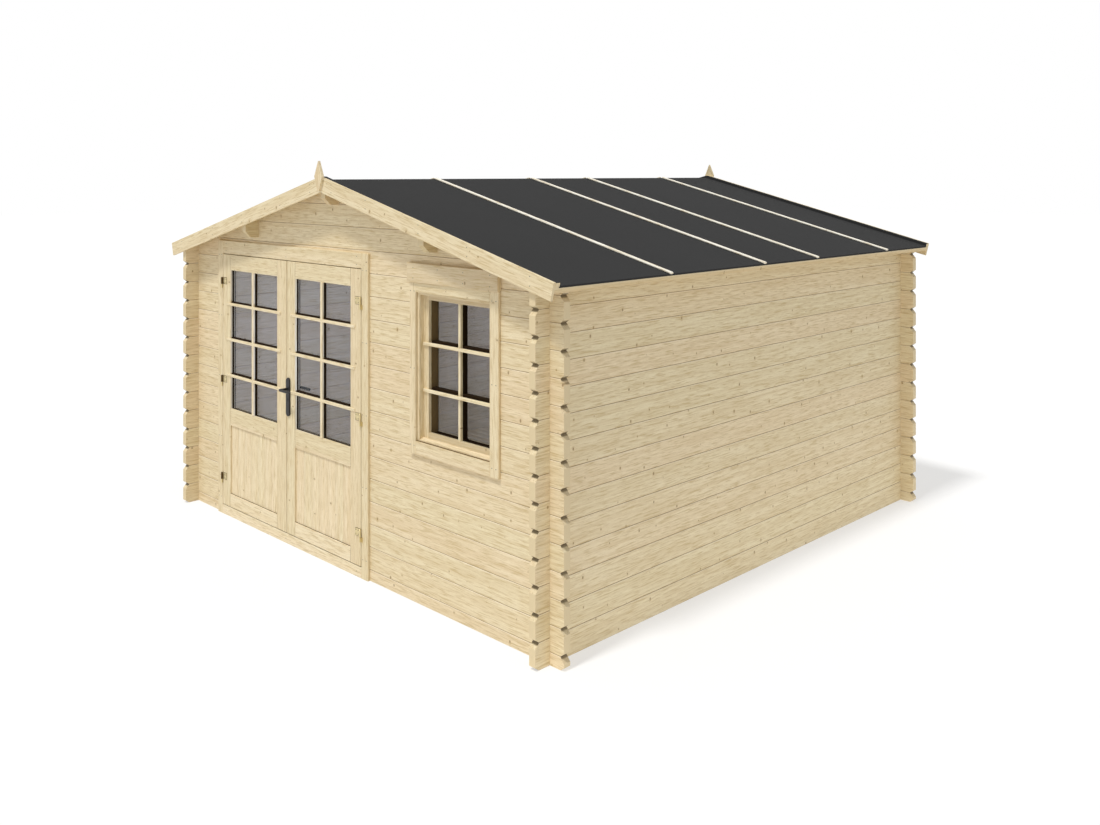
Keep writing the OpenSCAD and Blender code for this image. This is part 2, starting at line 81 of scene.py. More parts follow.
# Year rings on the sawn ends are about 4 mm apart, drawn coarser than real ones. Their centre
# lies HEART_DROP below the log.
YEAR_RINGS = 80.0
HEART_DROP = 0.05

# Sockets of a Mix node that mixes colours
COLOUR_A, COLOUR_B = 6, 7


def srgb(code):
    """Linear colour of an sRGB hex value."""
    shares = [int(code[place:place + 2], 16) / 255 for place in (1, 3, 5)]
    return (*(s / 12.92 if s <= 0.04045 else ((s + 0.055) / 1.055) ** 2.4 for s in shares), 1.0)


def add(tree, kind, inputs=None, **settings):
    """Adds a node. Each input takes a value, another node's output, or a node, which gives its
    first output in use."""
    made = tree.nodes.new(kind)
    for setting, value in settings.items():
        setattr(made, setting, value)
    for socket, value in (inputs or {}).items():
        if isinstance(value, bpy.types.Node):
            value = next(output for output in value.outputs if output.enabled)
        if isinstance(value, bpy.types.NodeSocket):
            tree.links.new(value, made.inputs[socket])
        else:
            made.inputs[socket].default_value = value
    return made


def empty_material(name):
    """A material with an empty node tree."""
    made = bpy.data.materials.new(name)
    made.use_nodes = True
    made.node_tree.nodes.clear()
    return made


def spruce(name, axes, width, start=0.0, slope=0.0, joint=0.0, light="#efe2c5", dark="#dbc8a3",
           painted_bevel_shade=0.0):
    """Planed spruce in boards of one width. The eye gets a cream wood with long pale figure,
    short darker fibres, and small brown knots that the grain runs round.
    axes are the object's axes along the grain, across the board and through it. width is a
    board's, or in a single board the distance between its rows of knots, and start is where
    the first one starts. slope turns them down the roof. joint is the width of the dark line
    between two boards, and also brings a painted highlight along each board's upper edge. The
    last argument is how much painted shade the bevels sawn across the log ends take."""
    made = empty_material(name)
    tree = made.node_tree

    # Place in the wood, along the grain, across the board and through it
    place = add(tree, "ShaderNodeTexCoord")
    spot = add(tree, "ShaderNodeSeparateXYZ", {0: place.outputs["Object"]})
    facing = add(tree, "ShaderNodeSeparateXYZ", {0: place.outputs["Normal"]})
    if slope:
        side = add(tree, "ShaderNodeMath", {0: spot.outputs["X"]}, operation="SIGN")
        sloped = []
        for parts in (spot, facing):
            folded = add(tree, "ShaderNodeMath", {0: parts.outputs["X"], 1: side}, operation="MULTIPLY")
            whole = add(
                tree, "ShaderNodeCombineXYZ", {0: folded, 1: parts.outputs["Y"], 2: parts.outputs["Z"]}
            )
            level = add(tree, "ShaderNodeMapping", {"Vector": whole, "Rotation": (0, -slope, 0)})
            sloped.append(add(tree, "ShaderNodeSeparateXYZ", {0: level}))
        spot, facing = sloped
    along, across, through = (spot.outputs[axis] for axis in axes)

    # Chance values for each board, from its row, its wall and its own number
    raised = add(tree, "ShaderNodeMath", {0: across, 1: start}, operation="SUBTRACT")
    rows = add(tree, "ShaderNodeMath", {0: raised, 1: width}, operation="DIVIDE")
    row = add(tree, "ShaderNodeMath", {0: rows}, operation="FLOOR")
    wall = add(tree, "ShaderNodeMath", {0: through}, operation="ROUND")
    number = add(tree, "ShaderNodeAttribute", attribute_name="board")
    key = add(tree, "ShaderNodeCombineXYZ", {0: row, 1: wall, 2: number.outputs["Fac"]})
    chance = add(tree, "ShaderNodeTexWhiteNoise", {"Vector": key}, noise_dimensions="3D")
    chances = add(tree, "ShaderNodeSeparateColor", {0: chance.outputs["Color"]})

    # Knots, scattered one to a cell, each board's slid along from the next one's
    slid = add(tree, "ShaderNodeMath", {0: chances.outputs["Red"], 1: KNOT_SLIDE}, operation="MULTIPLY")
    paces = add(
        tree, "ShaderNodeMath", {0: along, 1: 1 / KNOT_PACE, 2: slid}, operation="MULTIPLY_ADD"
    )
    cell_spot = add(tree, "ShaderNodeCombineXYZ", {0: paces, 1: rows})
    cell = add(tree, "ShaderNodeTexVoronoi", {"Vector": cell_spot, "Scale": 1.0}, voronoi_dimensions="2D")
    off = add(
        tree, "ShaderNodeVectorMath", {0: cell_spot, 1: cell.outputs["Position"]}, operation="SUBTRACT"
    )
    real_off = add(tree, "ShaderNodeVectorMath", {0: off, 1: (KNOT_PACE, width, 0)}, operation="MULTIPLY")
    oval = add(tree, "ShaderNodeVectorMath", {0: real_off, 1: KNOT_OVAL}, operation="MULTIPLY")
    away = add(tree, "ShaderNodeVectorMath", {0: oval}, operation="LENGTH")
    cell_chances = add(tree, "ShaderNodeSeparateColor", {0: cell.outputs["Color"]})
    radius = add(
        tree, "ShaderNodeMapRange",
        {"Value": cell_chances.outputs["Red"], "From Min": 0.15, "To Min": SMALLEST_KNOT,
         "To Max": KNOT_RADIUS}
    )
    core = add(tree, "ShaderNodeMath", {0: radius, 1: KNOT_CORE}, operation="MULTIPLY")
    reach = add(tree, "ShaderNodeMath", {0: radius, 1: KNOT_REACH}, operation="MULTIPLY")
    knot, halo = (
        add(
            tree, "ShaderNodeMapRange", {"Value": away, "From Min": rim, "From Max": core},
            interpolation_type="SMOOTHSTEP"
        )
        for rim in (radius, reach)
    )

    # The grain runs round a knot
    up = add(tree, "ShaderNodeSeparateXYZ", {0: real_off})
    push = add(tree, "ShaderNodeMath", {0: up.outputs["Y"], 1: halo}, operation="MULTIPLY")
    bent = add(tree, "ShaderNodeMath", {0: push, 1: -GRAIN_BEND, 2: across}, operation="MULTIPLY_ADD")
    shift = add(
        tree, "ShaderNodeVectorMath", {0: chance.outputs["Color"], 1: (7, 0, 3)}, operation="MULTIPLY"
    )
    straight = add(tree, "ShaderNodeCombineXYZ", {0: along, 1: bent, 2: through})
    grain = add(tree, "ShaderNodeVectorMath", {0: straight, 1: shift}, operation="ADD")
    layers = []
    for scale, detail in GRAIN_LAYERS:
        stretched = add(tree, "ShaderNodeVectorMath", {0: grain, 1: scale}, operation="MULTIPLY")
        layers.append(add(
            tree, "ShaderNodeTexNoise",
            {"Vector": stretched, "Scale": 1.0, "Detail": detail, "Distortion": 0.1}
        ))
    figure, fibre, hair = layers
    band = add(
        tree, "ShaderNodeMapRange",
        {"Value": figure, "From Min": 0.36, "From Max": 0.66, "To Max": 0.62}
    )
    dash = add(tree, "ShaderNodeMapRange", {"Value": fibre, "From Min": 0.48, "From Max": 0.7})
    lint = add(tree, "ShaderNodeMapRange", {"Value": hair, "From Min": 0.4, "From Max": 0.7})

    # Boards differ a little in colour, from yellowish to pinkish
    tint = add(
        tree, "ShaderNodeMix",
        {0: chances.outputs["Green"], COLOUR_A: srgb("#fcfbf1"), COLOUR_B: srgb("#fff9f1")},
        data_type="RGBA"
    )
    colour = add(
        tree, "ShaderNodeMix", {0: band, COLOUR_A: srgb(light), COLOUR_B: srgb(dark)}, data_type="RGBA"
    )
    colour = add(
        tree, "ShaderNodeMix", {0: 1.0, COLOUR_A: colour, COLOUR_B: tint},
        data_type="RGBA", blend_type="MULTIPLY"
    )

    # Year rings on the sawn ends
    turn = add(tree, "ShaderNodeMath", {0: facing.outputs[axes[0]]}, operation="ABSOLUTE")
    sawn_end = add(tree, "ShaderNodeMapRange", {"Value": turn, "From Min": 0.75, "From Max": 0.85})
    fraction = add(tree, "ShaderNodeMath", {0: rows}, operation="FRACT")
    ring_up = add(tree, "ShaderNodeMath", {0: fraction, 1: width, 2: HEART_DROP}, operation="MULTIPLY_ADD")
    ring_spot = add(tree, "ShaderNodeCombineXYZ", {0: 0.0, 1: ring_up, 2: through})
    rings = add(
        tree, "ShaderNodeTexWave", {"Vector": ring_spot, "Scale": YEAR_RINGS, "Distortion": 1.0},
        wave_type="RINGS", rings_direction="X"
    )
    end_colour = add(
        tree, "ShaderNodeMix",
        {0: rings.outputs["Fac"], COLOUR_A: srgb("#e3d2ad"), COLOUR_B: srgb("#d6c094")},
        data_type="RGBA"
    )

    # What lies over the wood's own colour: where it lies, how strongly it shows, and its colour
    coats = [
        (dash, 0.8, srgb("#c8b07f")), (lint, 0.26, srgb("#c4ab7c")), (halo, 0.3, srgb("#cdb180")),
        (knot, 0.7, srgb("#84683f")), (sawn_end, 1.0, end_colour),
    ]
    edge = add(tree, "ShaderNodeMath", {0: fraction, 1: 0.5}, operation="SUBTRACT")
    from_middle = add(tree, "ShaderNodeMath", {0: edge}, operation="ABSOLUTE")
    if joint:
        line = add(
            tree, "ShaderNodeMapRange",
            {"Value": from_middle, "From Min": 0.5 - joint / width, "From Max": 0.5 - joint / width / 2}
        )
        # Painted highlight: a thin lighter band along each log's upper edge, just under the joint
        arris = add(
            tree, "ShaderNodeMapRange",
            {"Value": fraction, "From Min": 1 - EDGE_START / width, "From Max": 1 - EDGE_FULL / width,
             "To Max": 0.3}
        )
        above = add(tree, "ShaderNodeMath", {0: 1.0, 1: line}, operation="SUBTRACT")
        glint = add(tree, "ShaderNodeMath", {0: arris, 1: above}, operation="MULTIPLY")
        coats += [(line, 1.0, srgb("#a4895e")), (glint, 1.0, srgb("#fffaea"))]
    # Painted shade on the bevels sawn across the log ends, darkest near the joint
    if painted_bevel_shade:
        upper, lower = (
            add(
                tree, "ShaderNodeMath", {0: facing.outputs[axes[1]], 1: rise, 2: spread},
                operation="COMPARE"
            )
            for rise, spread in BEVELS
        )
        bevel = add(tree, "ShaderNodeMath", {0: upper, 1: lower}, operation="ADD")
        deep = add(
            tree, "ShaderNodeMapRange",
            {"Value": from_middle, "From Min": 0.5 - BEVEL_START / width,
             "From Max": 0.5 - BEVEL_FULL / width, "To Min": painted_bevel_shade, "To Max": 0.8}
        )
        bevel_shading = add(tree, "ShaderNodeMath", {0: bevel, 1: deep}, operation="MULTIPLY")
        coats.append((bevel_shading, 1.0, srgb("#665432")))
    for mask, share, coat in coats:
        part = add(tree, "ShaderNodeMath", {0: mask, 1: share}, operation="MULTIPLY")
        colour = add(
            tree, "ShaderNodeMix", {0: part, COLOUR_A: colour, COLOUR_B: coat}, data_type="RGBA"
        )

    # The harder bands stand a little proud of the planed face
    height = add(tree, "ShaderNodeMath", {0: band, 1: 0.5, 2: lint}, operation="MULTIPLY_ADD")
    relief = add(tree, "ShaderNodeBump", {"Height": height, "Strength": 0.25, "Distance": 0.0004})
    surface = add(
        tree, "ShaderNodeBsdfPrincipled", {"Base Color": colour, "Roughness": 0.65, "Normal": relief}
    )
    add(tree, "ShaderNodeOutputMaterial", {"Surface": surface})
    return made


def finish(material, *names):
    """Gives CAD nodes a material in place of their plain one."""
    for name in names:
        nodes[name].data.materials[0] = material


finish(
    spruce("log_spruce_front", "XZY", LOG_HEIGHT, FRONT_JOINT, joint=DRY_JOINT, painted_bevel_shade=0.15),
    "front_wall_left", "front_wall_right", "front_gable", "back_wall", "back_gable"
)
finish(
    spruce("log_spruce_side", "YZX", LOG_HEIGHT, SIDE_JOINT, joint=DRY_JOINT, painted_bevel_shade=0.05),
    "left_wall", "right_wall"
)


# ---- Purlins ----
# Three spruce beams from gable to gable, let into both gable walls. Their ends carry the
# bargeboards' line and are bevelled underneath.
finish(
    spruce("purlin_spruce", "YZX", width=0.2, start=0.01, light="#e2d2ae", dark="#ccb68c"),
    "ridge_purlin", "left_purlin", "right_purlin"
)


# ---- Roof boards ----
# Tongue and groove spruce boards from the ridge to the eaves, nailed to the purlins and walls.
# Their edges are eased, so that a small V shows between them from below.
PITCH = math.radians(14)
ROOF_BOARD_THICK = 0.018
ROOF_BOARD_COUNT = 42
ROOF_BOARD_ARRIS = 0.002

roof_low, roof_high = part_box("roof_boards_right")
# Height of the boards' underside on the ridge line, and the length of a slope
UNDER_RIDGE = roof_high.z - ROOF_BOARD_THICK / math.cos(PITCH)
SLOPE_LENGTH = (roof_high.x - ROOF_BOARD_THICK * math.sin(PITCH)) / math.cos(PITCH)
# From a slope lying along X under its boards to its place on the roof, for each side
ON_RIGHT = Matrix.Translation((0, 0, UNDER_RIDGE)) @ Matrix.Rotation(PITCH, 4, "Y")
ON_LEFT = Matrix.Scale(-1, 4, (1, 0, 0)) @ ON_RIGHT


def open_tree(name, inputs):
    """A Geometry Nodes tree with these inputs, its Group Input node and a place for its result."""
    tree = bpy.data.node_groups.new(name, "GeometryNodeTree")
    for label, kind in inputs:
        tree.interface.new_socket(name=label, in_out="INPUT", socket_type=kind)
    tree.interface.new_socket(name="Result", in_out="OUTPUT", socket_type="NodeSocketGeometry")
    return tree, add(tree, "NodeGroupInput").outputs


def row_of_boards():
    """Boards side by side along Y, each Length long in X, with eased edges."""
    tree, given = open_tree("row_of_boards", (
        ("Count", "NodeSocketInt"), ("Pace", "NodeSocketFloat"), ("Length", "NodeSocketFloat"),
        ("Thickness", "NodeSocketFloat"), ("Arris", "NodeSocketFloat"), ("Finish", "NodeSocketMaterial"),
    ))
    outline = add(
        tree, "GeometryNodeCurvePrimitiveQuadrilateral",
        {"Width": given["Pace"], "Height": given["Thickness"]}
    )
    eased = add(
        tree, "GeometryNodeFilletCurve", {"Curve": outline, "Count": 1, "Radius": given["Arris"]},
        mode="POLY"
    )
    end = add(tree, "ShaderNodeCombineXYZ", {0: given["Length"]})
    run = add(tree, "GeometryNodeCurvePrimitiveLine", {"End": end})
    one_board = add(
        tree, "GeometryNodeCurveToMesh", {"Curve": run, "Profile Curve": eased, "Fill Caps": True}
    )
    step = add(tree, "ShaderNodeCombineXYZ", {1: given["Pace"]})
    places = add(tree, "GeometryNodeMeshLine", {"Count": given["Count"], "Offset": step})
    rows = add(tree, "GeometryNodeInstanceOnPoints", {"Points": places, "Instance": one_board})
    chance = add(tree, "FunctionNodeRandomValue", {"Seed": 4}, data_type="FLOAT")
    numbered = add(
        tree, "GeometryNodeStoreNamedAttribute",
        {"Geometry": rows, "Name": "board", "Value": chance},
        data_type="FLOAT", domain="INSTANCE"
    )
    solid = add(tree, "GeometryNodeRealizeInstances", {"Geometry": numbered})
    finished = add(tree, "GeometryNodeSetMaterial", {"Geometry": solid, "Material": given["Finish"]})
    add(tree, "NodeGroupOutput", {"Result": finished})
    return tree


def grow(name, tree, values, start=None):
    """A piece with the plain mesh that a tree makes from these values."""
    piece = bpy.data.objects.new(name, start or bpy.data.meshes.new(name))
    bpy.context.scene.collection.objects.link(piece)
    maker = piece.modifiers.new(name, "NODES")
    maker.node_group = tree
    for item in tree.interface.items_tree:
        if item.name in values:
            maker[item.identifier] = values[item.name]
    ready = piece.evaluated_get(bpy.context.evaluated_depsgraph_get())
    mesh = bpy.data.meshes.new_from_object(ready)
    piece.modifiers.clear()
    piece.data = mesh
    return piece


def place_mesh(piece, matrix):
    """Moves a piece's mesh into place. A mirrored one is turned right side out."""
    piece.data.transform(matrix)
    if matrix.determinant() < 0:
        piece.data.flip_normals()


def fit_in(piece, body, slot, *stands_for):
    """Says what a piece moves with and which CAD nodes it stands for, which it hides. slot is not used."""
    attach(piece, body)
    if stands_for:
        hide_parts(*stands_for)


board_row = row_of_boards()
roof_spruce = spruce("roof_board_spruce", "XYZ", width=0.11, slope=PITCH)
roof_pace = (roof_high.y - roof_low.y) / ROOF_BOARD_COUNT
for side, on_slope in (("left", ON_LEFT), ("right", ON_RIGHT)):
    boards = grow(f"roof_board_row_{side}", board_row, {
        "Count": ROOF_BOARD_COUNT, "Pace": roof_pace, "Length": SLOPE_LENGTH,
        "Thickness": ROOF_BOARD_THICK, "Arris": ROOF_BOARD_ARRIS, "Finish": roof_spruce,
    })
    first = Matrix.Translation((0, roof_low.y + roof_pace / 2, ROOF_BOARD_THICK / 2))
    place_mesh(boards, on_slope @ first)
    fit_in(boards, "house", "sawn_pine", f"roof_boards_{side}")


# ---- Edge strips, eaves slats, bargeboards and finials ----
# Sawn spruce trim nailed along the edges of the roof boards. The felt folds over the gable
# strips, and the bargeboards cover the gable edges under a kite-shaped board at each ridge end.
finish(
    spruce("bargeboard_spruce", "XZY", width=0.14, start=2.2, slope=PITCH),
    "front_bargeboard_left", "front_bargeboard_right",
    "back_bargeboard_left", "back_bargeboard_right", "gable_edge_strips"
)
finish(
    spruce(
        "eaves_slat_spruce", "YXZ", width=0.05, start=2.0, slope=PITCH, light="#e2cda6", dark="#d0b68a"
    ),
    "eaves_slats"
)
# How the grain and the rows of knots lie in an upright board
UPRIGHT_ROWS = {"axes": "ZXY", "width": 0.13, "start": 0.02}
upright_spruce = spruce("upright_spruce", **UPRIGHT_ROWS)
finish(upright_spruce, "front_finial", "back_finial")


# ---- Roof felt ----
# One grey mineral felt over the whole roof, rolled out over the ridge, with fine slate grit
# that makes it matt.

# Real grit is about 1 mm, and is drawn at about 4 mm so that it shows. Clouds in its colour
# are about 0.6 m across.
GRIT_SCALE = 250.0
CLOUD_SCALE = 1.7


def mineral_felt():
    """Bitumen felt under slate grit. The eye gets an even dark grey with a fine matt speckle."""
    made = empty_material("mineral_felt")
    tree = made.node_tree
    place = add(tree, "ShaderNodeTexCoord")
    grit, cloud = (
        add(
            tree, "ShaderNodeTexNoise",
            {"Vector": place.outputs["Object"], "Scale": scale, "Detail": detail}
        )
        for scale, detail in ((GRIT_SCALE, 1.0), (CLOUD_SCALE, 3.0))
    )
    speck = add(tree, "ShaderNodeMapRange", {"Value": grit, "From Min": 0.3, "From Max": 0.7})
    ground = add(
        tree, "ShaderNodeMix", {0: cloud, COLOUR_A: srgb("#303030"), COLOUR_B: srgb("#343434")},
        data_type="RGBA"
    )
    share = add(tree, "ShaderNodeMath", {0: speck, 1: 0.45}, operation="MULTIPLY")
    colour = add(
        tree, "ShaderNodeMix", {0: share, COLOUR_A: ground, COLOUR_B: srgb("#3b3b3b")},
        data_type="RGBA"
    )
    relief = add(tree, "ShaderNodeBump", {"Height": grit, "Strength": 0.35, "Distance": 0.001})
    surface = add(
        tree, "ShaderNodeBsdfPrincipled",
        {"Base Color": colour, "Roughness": 0.9, "Normal": relief, "Specular IOR Level": 0.08}
    )
    add(tree, "ShaderNodeOutputMaterial", {"Surface": surface})
    return made


finish(mineral_felt(), "roof_felt")


# ---- Battens on the felt ----
# Planed spruce battens nailed over the felt's laps, from the ridge to just past the eaves,
# with rounded top edges and rounded ends.
BATTEN_WIDTH = 0.024
BATTEN_THICK = 0.012
BATTEN_ROUND = 0.004
# Places of the two battens between the gables' own
INNER_BATTENS = (-0.2, 0.41)
# Where the battens lie: the felt's upper face over the underside of the roof boards, and how
# far from the ridge they start
FELT_TOP = 0.021
RIDGE_GAP = 0.006
# Steps of this size spread the boards' own numbers evenly between 0 and 1
NUMBER_STEP = 0.618


def timber(mesh, low, high, arris=0.0015, kind=0):
    """Adds a board between two corners to a mesh, all its edges eased, with its own number.
    kind is the place of its finish in the piece's list."""
    numbers = mesh.verts.layers.float.get("board") or mesh.verts.layers.float.new("board")
    number = len(mesh.verts) * NUMBER_STEP % 1
    corners = {}
    for signs in [(x, y, z) for x in (0, 1) for y in (0, 1) for z in (0, 1)]:
        for flat in range(3):
            inset = [0 if axis == flat else arris * (1 - 2 * signs[axis]) for axis in range(3)]
            at = [(low, high)[signs[axis]][axis] + inset[axis] for axis in range(3)]
            corners[signs, flat] = mesh.verts.new(at)
            corners[signs, flat][numbers] = number
    faces = []
    for flat in range(3):
        one, two = (axis for axis in range(3) if axis != flat)
        for end in (0, 1):
            loop = []
            for pair in ((0, 0), (1, 0), (1, 1), (0, 1)):
                signs = [end] * 3
                signs[one], signs[two] = pair
                loop.append(corners[tuple(signs), flat])
            faces.append(loop)
    for free in range(3):
        one, two = (axis for axis in range(3) if axis != free)
        for pair in ((0, 0), (1, 0), (1, 1), (0, 1)):
            loop = []
            for end, flat in ((0, one), (1, one), (1, two), (0, two)):
                signs = [end] * 3
                signs[one], signs[two] = pair
                loop.append(corners[tuple(signs), flat])
            faces.append(loop)
    faces += [[corners[signs, flat] for flat in range(3)] for signs, _ in list(corners)[::3]]
    for loop in faces:
        mesh.faces.new(loop).material_index = kind


def finished_piece(mesh, name, *materials):
    """The piece made of a worked mesh, its faces turned outwards."""
    bmesh.ops.recalc_face_normals(mesh, faces=mesh.faces)
    piece = bpy.data.objects.new(name, bpy.data.meshes.new(name))
    mesh.to_mesh(piece.data)
    mesh.free()
    for material in materials:
        piece.data.materials.append(material)
    bpy.context.scene.collection.objects.link(piece)
    return piece


batten_low, batten_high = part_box("felt_battens")
batten_end = (batten_high.x - (FELT_TOP + BATTEN_THICK) * math.sin(PITCH)) / math.cos(PITCH)
batten_ys = (batten_low.y + BATTEN_WIDTH / 2, *INNER_BATTENS, batten_high.y - BATTEN_WIDTH / 2)
# Near-white spruce, paler than all the other timber: painted highlight for the battens' sunlit tops
batten_spruce = spruce(
    "batten_spruce", "XYZ", width=0.3, slope=PITCH, light="#ffffff", dark="#f6f3ea"
)
for side, on_slope in (("left", ON_LEFT), ("right", ON_RIGHT)):
    strips = bmesh.new()
    for y in batten_ys:
        timber(
            strips, (RIDGE_GAP, y - BATTEN_WIDTH / 2, FELT_TOP),
            (batten_end, y + BATTEN_WIDTH / 2, FELT_TOP + BATTEN_THICK), BATTEN_ROUND
        )
    battens = finished_piece(strips, f"batten_strips_{side}", batten_spruce)
    place_mesh(battens, on_slope)
    fit_in(battens, "house", "sawn_pine", *(["felt_battens"] if side == "left" else []))


# ---- Door frame, casing and threshold ----
# Planed spruce jambs and head screwed to the cut log ends, with a stop for the leaves. Casing
# boards cover the joint with the logs, and a low threshold lies between the jambs.
JAMB_THICK = 0.04
# The stop: how far it stands out of the jamb, and how far behind the casing's face it starts
DOOR_STOP = 0.014
STOP_BACK = 0.045
# How far the edges of casings and leaves are eased, and those of the walked-on threshold
ARRIS = 0.002
THRESHOLD_ARRIS = 0.003
# How the grain and the rows of knots lie in a level board
CROSS_ROWS = {"axes": "XZY", "width": 0.21, "start": 0.05}
# Places in a piece's list of finishes
UPRIGHT, CROSS = 0, 1

cross_spruce = spruce("cross_spruce", **CROSS_ROWS)
frame_low, frame_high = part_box("door_frame")
casing_low, casing_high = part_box("door_side_trims")
head_low, head_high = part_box("door_head_board")
jamb_low_x, jamb_high_x = frame_low.x + JAMB_THICK, frame_high.x - JAMB_THICK
lining_top = frame_high.z - JAMB_THICK
stop_y = casing_low.y + STOP_BACK
worked = bmesh.new()
timber(worked, frame_low, (jamb_low_x, frame_high.y, lining_top))
timber(worked, (jamb_high_x, frame_low.y, frame_low.z), (frame_high.x, frame_high.y, lining_top))
timber(worked, (frame_low.x, frame_low.y, lining_top), frame_high, kind=CROSS)
timber(worked, (jamb_low_x, stop_y, 0), (jamb_low_x + DOOR_STOP, frame_high.y, lining_top))
timber(worked, (jamb_high_x - DOOR_STOP, stop_y, 0), (jamb_high_x, frame_high.y, lining_top))
timber(
    worked, (jamb_low_x + DOOR_STOP, stop_y, lining_top - DOOR_STOP),
    (jamb_high_x - DOOR_STOP, frame_high.y, lining_top), kind=CROSS
)
door_lining = finished_piece(worked, "door_lining", upright_spruce, cross_spruce)
fit_in(door_lining, "house", "planed_pine", "door_frame")

worked = bmesh.new()
timber(worked, casing_low, (head_low.x, casing_high.y, casing_high.z), ARRIS)
timber(worked, (head_high.x, casing_low.y, casing_low.z), casing_high, ARRIS)
timber(worked, head_low, head_high, ARRIS, CROSS)
door_casing = finished_piece(worked, "door_casing", upright_spruce, cross_spruce)
fit_in(door_casing, "house", "planed_pine", "door_side_trims", "door_head_board")

worked = bmesh.new()
sill_low, sill_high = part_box("door_threshold")
timber(worked, sill_low, (sill_high.x, stop_y, sill_high.z), THRESHOLD_ARRIS)
timber(
    worked, (sill_low.x + DOOR_STOP, stop_y, sill_low.z),
    (sill_high.x - DOOR_STOP, sill_high.y, sill_high.z), ARRIS
)
# Fresh-planed narrow pieces are the palest of the timber
pale_cross_spruce = spruce("pale_cross_spruce", **CROSS_ROWS, light="#f5ead0", dark="#e8d8b4")
pale_upright_spruce = spruce("pale_upright_spruce", **UPRIGHT_ROWS, light="#f5ead0", dark="#e8d8b4")
threshold = finished_piece(worked, "threshold_board", pale_cross_spruce)
fit_in(threshold, "house", "planed_pine", "door_threshold")


# ---- Door leaves ----
# Spruce stiles and rails, with a pane above and a panel below. The pane lies deep in the frame
# behind dark sealing strip, with a cross of glazing bars nailed on, their ends on the stiles.
# The strip and the spacers behind the bars are dark as painted shade.
# How far a pane or a panel runs into its groove
GLASS_GROOVE = 0.01
# Sealing strip: how far behind the leaf's face it starts, how far it stands out of the frame,
# how deep it is let in, and how far it stays from the leaf's back
SEAL_BACK = 0.014
SEAL_PROUD = 0.0008
SEAL_LET_IN = 0.006
SEAL_INSET = 0.001
# Glazing bars, level and upright: how wide, how far they stand out of the leaf, and how thick
BAR_WIDE = 0.0185
UPRIGHT_BAR_WIDE = 0.024
BAR_PROUD = 0.0055
UPRIGHT_BAR_PROUD = 0.005
BAR_THICK = 0.014
# How far a level bar runs over each stile
BAR_OVER = 0.05
BAR_HEIGHTS = (1.017, 1.2745, 1.529)
# Spacers behind the bars, dark as painted shade, lie a little higher than these, and are narrower
SPACER_RISE = 0.009
SPACER_INSET = 0.0005
# Joint lines between stiles and rails: half their width, and their front and back, counted
# from the leaf's face
JOINT_HALF = 0.0006
JOINT_FRONT = 0.0008
JOINT_BACK = 0.004
# Height of the dark line under the leaf, and height and depth of the one under the panel
FOOT_SHADOW = 0.0014
PANEL_JOINT = 0.001
PANEL_JOINT_DEEP = 0.005
# Edges of strips and lines, hardly eased
SHARP = 0.0002
# Places in a leaf's list of finishes, after its two spruces
SEAL_AND_SHADE, GAP, PALE_CROSS, PALE_UPRIGHT = 2, 3, 4, 5


def plain_material(name, colour, roughness, metallic=0.0, cloud_scale=400.0, shade="#000000",
                   share=0.2, gloss=0.5):
    """A smooth finish with a faint clouding, which keeps it from looking like plastic. share is
    how far the clouds go towards shade."""
    made = empty_material(name)
    tree = made.node_tree
    place = add(tree, "ShaderNodeTexCoord")
    cloud = add(
        tree, "ShaderNodeTexNoise",
        {"Vector": place.outputs["Object"], "Scale": cloud_scale, "Detail": 2.0}
    )
    part = add(tree, "ShaderNodeMath", {0: cloud, 1: share}, operation="MULTIPLY")
    mixed = add(
        tree, "ShaderNodeMix", {0: part, COLOUR_A: srgb(colour), COLOUR_B: srgb(shade)},
        data_type="RGBA"
    )
    surface = add(
        tree, "ShaderNodeBsdfPrincipled",
        {"Base Color": mixed, "Roughness": roughness, "Metallic": metallic,
         "Specular IOR Level": gloss}
    )
    add(tree, "ShaderNodeOutputMaterial", {"Surface": surface})
    return made


# A ring's sides are cut from one length, so they share one board number
RING_NUMBER = 0.3


def mitred_ring(mesh, low, high, profile, kinds=(UPRIGHT, CROSS)):
    """Adds a ring of moulding round an opening. profile holds its outline as pairs: the
    distance out from the opening's edge, and Y. kinds are the finishes of its upright and
    its level sides, as places in the piece's list."""
    numbers = mesh.verts.layers.float.get("board") or mesh.verts.layers.float.new("board")
    rings = []
    for out, y in profile:
        left, right, foot, top = low[0] - out, high[0] + out, low[2] - out, high[2] + out
        rings.append([mesh.verts.new((x, y, z)) for x, z in (
            (left, foot), (right, foot), (right, top), (left, top)
        )])
    for vert in sum(rings, []):
        vert[numbers] = RING_NUMBER
    for ring, after in zip(rings, rings[1:] + rings[:1]):
        for corner in range(4):
            follow = (corner + 1) % 4
            face = mesh.faces.new((ring[corner], ring[follow], after[follow], after[corner]))
            face.material_index = kinds[0] if corner % 2 else kinds[1]


# Black-brown strip, a sealing strip that is also painted shade: the eye gets a matt line that
# swallows the light beside the pane and behind the bars
seal_and_painted_shade = plain_material("seal_and_painted_shade", "#281b0b", roughness=0.9, gloss=0.1)
# Dark brown of the bottom of tight joints, and painted shade under the leaf and over the panel's
# foot: the eye gets a fine brown line between two boards
joint_shadow = plain_material("joint_shadow", "#5a452a", roughness=0.9)

